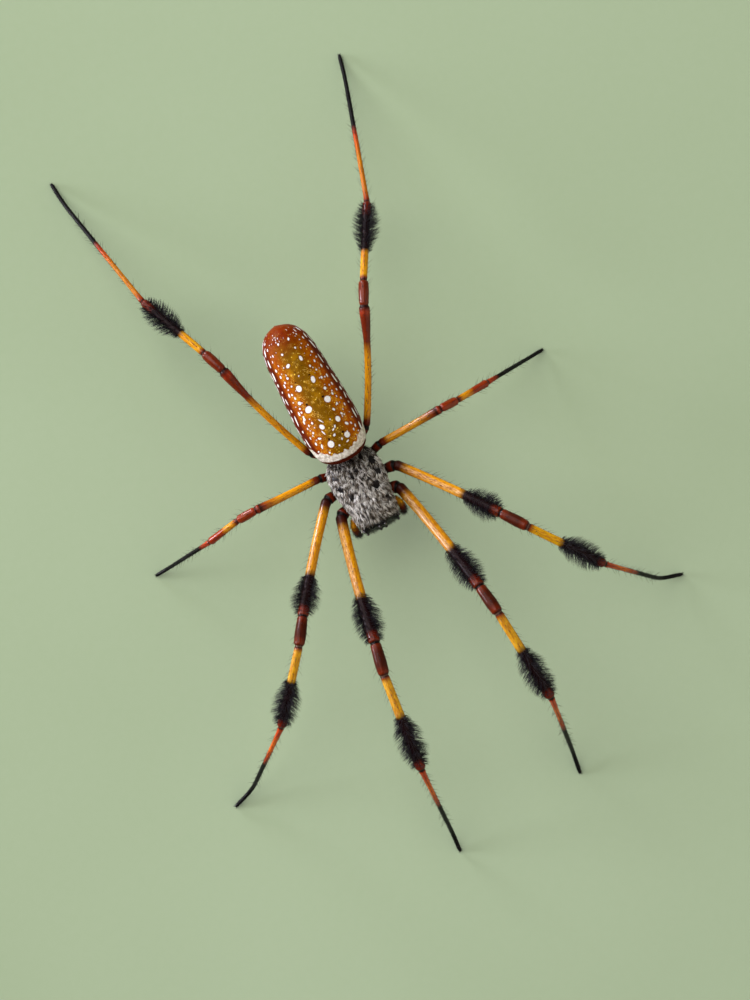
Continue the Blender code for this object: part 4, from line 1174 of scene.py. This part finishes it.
# Mouthparts: paths of the left side, as place and radius
mouthparts = dict(
    chelicera=((1.08, -8.1, 10.35, .72), (1.1, -8.35, 9.4, .9), (1.1, -8.5, 8.5, .9), (1.05, -8.6, 7.7, .76),
               (1.0, -8.62, 7.15, .5), (1.0, -8.62, 7.02, .2)),
    fang=((.99, -8.68, 7.1, .26), (.98, -8.7, 6.8, .27), (.96, -8.6, 6.5, .25), (.82, -8.2, 6.32, .2),
          (.6, -7.6, 6.4, .03)),
    palp=((1.2, -6.75, 8.65, .3), (2.2, -6.85, 8.85, .38), (2.85, -7.05, 9.15, .4), (3.18, -7.65, 9.25, .4),
          (3.16, -8.3, 9.0, .38), (3.08, -8.75, 8.3, .34), (2.9, -8.85, 7.5, .16), (2.88, -8.84, 7.42, .05)),
    palpJoints=(0.16, 0.4, 0.53, 0.72),
)
palpStops = ((0, deepMaroon), (.14, maroon), (.22, burntOrange), (.3, amber), (.5, amber), (.6, burntOrange),
             (.68, maroon), (.8, deepMaroon), (1, black))


# A mouthpart's middle line and radii at evenly spaced places
def mouthLine(key, side, count, passes):
    line = evenLine(mouthparts[key], count, passes)
    return mirrored(line[:, :3], side), line[:, 3]


mouthHair = dict(length=0.55, width=0.013, lean=44.0, tipLean=24.0, scatter=0.14)
for side in sideSigns:
    draw = np.random.default_rng(seed + 50 + sideSigns[side])
    path, radii = mouthLine("chelicera", side, 70, 10)
    cheliceraGrid = tubeGrid(path, radii, 44, (0, 1, 0))
    tint = [tintAlong(((0, paint(40, 20, 18)), (.3, black), (1, black)), np.linspace(0, 1, 70))]
    addTubes(f"chelicera_{side}_skin", [cheliceraGrid], hornMaterial,
             [f"chelicera_{side}"], tint)
    path, radii = mouthLine("fang", side, 50, 8)
    tint = [tintAlong(((0, black), (.5, paint(40, 14, 10)), (1, paint(90, 26, 14))), np.linspace(0, 1, 50))]
    addTubes(f"fang_{side}_skin", [tubeGrid(path, radii, 20, (1, 0, 0))], hornMaterial,
             [f"fang_{side}"], tint)
    path, radii = mouthLine("palp", side, 120, 8)
    shares = np.linspace(0, 1, 120)
    for joint in mouthparts["palpJoints"]:
        radii = radii * (1 - 0.16 * bell(shares, joint, 0.012) + 0.05 * bell(shares, joint - 0.03, 0.012))
    palpGrid = tubeGrid(path, radii, 28)
    addTubes(f"pedipalp_{side}_skin", [palpGrid], legSkinMaterial, [f"pedipalp_{side}"],
             [tintAlong(palpStops, shares)])
    even = np.ones(cheliceraGrid.shape[:2])
    palpDensity = np.repeat(ease(shares, 0.2, 0.8)[:, None], 28, axis=1) + 0.15
    groups = [skinHairs(cheliceraGrid, even, 420, mouthHair, paint(46, 38, 36), draw),
              skinHairs(palpGrid, palpDensity, 620, mouthHair, paint(30, 24, 24), draw)]
    addStrands(f"mouth_{side}_hair", groups, blackHairMaterial)


# A squashed ball: rings round a middle along an axis
def ballGrid(centre, axis, sizes, rings, sides, up=(0, 0, 1)):
    axis = unit(axis)
    across = unit(np.cross(axis, up))
    over = np.cross(across, axis)
    turns = np.linspace(0.03, math.pi - 0.03, rings)
    angles = np.arange(sides) * 2 * math.pi / sides
    rim = np.cos(angles)[:, None] * across * sizes[1] + np.sin(angles)[:, None] * over * sizes[2]
    line = np.asarray(centre) - axis * np.cos(turns)[:, None, None] * sizes[0]
    return line + rim[None] * np.sin(turns)[:, None, None]


# Lip plates between the palps
plates = [ballGrid((0, -7.05, 7.75), (0, -1, -0.1), (.62, .42, .3), 24, 28)]
for sign in (1, -1):
    plates.append(ballGrid((sign * 0.82, -7.1, 7.95), (sign * -0.12, -1, -0.15), (.78, .46, .36), 26, 28))
plateStops = ((0, deepMaroon), (.6, maroon), (.85, paint(150, 110, 80)), (1, paint(170, 140, 110)))
plateTints = [tintAlong(plateStops, np.linspace(0, 1, len(plate))) for plate in plates]
addTubes("mouth_plates", plates, darkSkinMaterial, (), plateTints)

# Pedicel: a short waist from the core up into the abdomen
low, high = [np.array(corner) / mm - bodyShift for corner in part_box("pedicel")]
pedicelPath = evenLine(((0, 0.3, 8.95), (0, 1.05, 9.1), (0, (low[1] + high[1]) / 2, (low[2] + high[2]) / 2),
                        (0, high[1], high[2] + 0.1), (0, high[1] + 0.3, high[2] + 0.5)), 50, 6)
shares = np.linspace(0, 1, 50)
pedicelRadii = 0.44 + 0.05 * np.cos(shares * 2 * math.pi * 4)
addTubes("pedicel_skin", [tubeGrid(pedicelPath, pedicelRadii, 28, (1, 0, 0))], darkSkinMaterial,
         ["pedicel"], [np.repeat(maroon[None], 50, axis=0)])

# Spinnerets: a low ring with three pairs of cones, aimed down and back
low, high = [np.array(corner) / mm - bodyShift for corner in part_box("spinnerets")]
spinMiddle = np.array(((low[0] + high[0]) / 2, 15.0, high[2]))
spinGrids = [ballGrid(spinMiddle + np.array((0, 0, -0.1)), (0, 0.25, -1), (.5, .92, .92), 26, 40, (0, 1, 0))]
spinTints = [tintAlong(((0, redBrown), (.5, maroon), (1, deepMaroon)), np.linspace(0, 1, 26))]
coneStops = ((0, maroon), (.55, redBrown), (.62, black), (.7, redBrown), (1, paint(150, 110, 70)))
for sign in (1, -1):
    for offset, length, radius in ((-0.42, .95, .33), (0.08, .7, .22), (0.5, .95, .3)):
        root = spinMiddle + np.array((sign * 0.4, offset, -0.15))
        axis = unit((sign * -0.12, 0.5 - offset * 0.25, -1))
        shares = np.linspace(0, 1, 40)
        path = root + axis * (shares * length)[:, None]
        profile = radius * np.interp(shares, (0, .55, .6, .66, .9, .97, 1), (1, .9, .78, .84, .62, .4, .12))
        spinGrids.append(tubeGrid(path, softened(profile, 2), 24, (0, 1, 0)))
        spinTints.append(tintAlong(coneStops, shares))
addTubes("spinnerets_skin", spinGrids, darkSkinMaterial, ["spinnerets"], spinTints)
draw = np.random.default_rng(seed + 60)
spinHair = dict(length=0.3, width=0.008, lean=40.0, tipLean=15.0, scatter=0.14)
groups = [skinHairs(cone, np.ones(cone.shape[:2]), 110, spinHair, paint(60, 40, 30), draw)
          for cone in spinGrids[1:]]
addStrands("spinnerets_hair", groups, blackHairMaterial)
print("mouthparts, waist and spinnerets made")

# Floor, light and camera
stageSizes = dict(
    floor=4.0,                                     # in metres
    cameraPlace=(0.596, -5.984, 609.5),            # in the body's mm
    cameraTurn=-28,                                # degrees about the vertical
    lens=180,
    keyPower=5.2, sidePower=150.0, fillPower=7.0,  # in watts
    skyStrength=0.17,
)
half = stageSizes["floor"] / 2
floorMesh = bpy.data.meshes.new("floor")
floorCorners = [(-half, -half, 0), (half, -half, 0), (half, half, 0), (-half, half, 0)]
floorMesh.from_pydata(floorCorners, [], [(0, 1, 2, 3)])
floorMesh.materials.append(floorMaterial())
floor = bpy.data.objects.new("floor", floorMesh)
bpy.context.scene.collection.objects.link(floor)

turn = math.radians(stageSizes["cameraTurn"])
right = np.array((math.cos(turn), math.sin(turn), 0))
ahead = np.array((-math.sin(turn), math.cos(turn), 0))
cameraData = bpy.data.cameras.new("camera")
cameraData.lens = stageSizes["lens"]
cameraData.sensor_width = 36
cameraData.clip_start = 0.05
cameraData.clip_end = 20
camera = bpy.data.objects.new("camera", cameraData)
camera.location = Vector(toFrame(stageSizes["cameraPlace"]))
camera.rotation_euler = (0, 0, turn)
bpy.context.scene.collection.objects.link(camera)
bpy.context.scene.camera = camera


# A light at a distance in metres along a direction from the middle of the floor, turned towards it
def addLight(name, kind, direction, distance, power, colour, **settings):
    data = bpy.data.lights.new(name, kind)
    data.energy = power
    data.color = colour
    for field, value in settings.items():
        setattr(data, field, value)
    light = bpy.data.objects.new(name, data)
    place = Vector(unit(direction) * distance)
    light.location = place
    light.rotation_mode = "QUATERNION"
    light.rotation_quaternion = place.to_track_quat("Z", "Y")
    bpy.context.scene.collection.objects.link(light)


# the key comes from the picture's upper left, two low side lights draw the cool line along the left edges of
# the legs, and the wide fill from the right keeps their other edges warm
up = np.array((0, 0, 1.0))
addLight("key", "AREA", -right * 0.8 + ahead * 0.55 + up * 1.15, 0.75, stageSizes["keyPower"],
         (1.0, 0.97, 0.94), shape="DISK", size=0.9)
for number, offset in enumerate((0.06, 0.95)):
    addLight(f"side_{number + 1}", "SPOT", -right * 0.9 + ahead * offset + up * 0.14, 1.5,
             stageSizes["sidePower"], (0.88, 0.86, 1.0), shadow_soft_size=0.33, spot_size=math.radians(26),
             spot_blend=0.9)
addLight("fill", "AREA", right * 1.0 - ahead * 0.3 + up * 0.7, 1.2, stageSizes["fillPower"],
         (1.0, 0.9, 0.7), shape="DISK", size=2.2)

world = bpy.data.worlds.new("sky")
world.use_nodes = True
world.node_tree.nodes["Background"].inputs["Color"].default_value = (0.86, 0.88, 0.96, 1)
world.node_tree.nodes["Background"].inputs["Strength"].default_value = stageSizes["skyStrength"]
bpy.context.scene.world = world
bpy.context.scene.view_settings.view_transform = "Standard"
print("stage made")
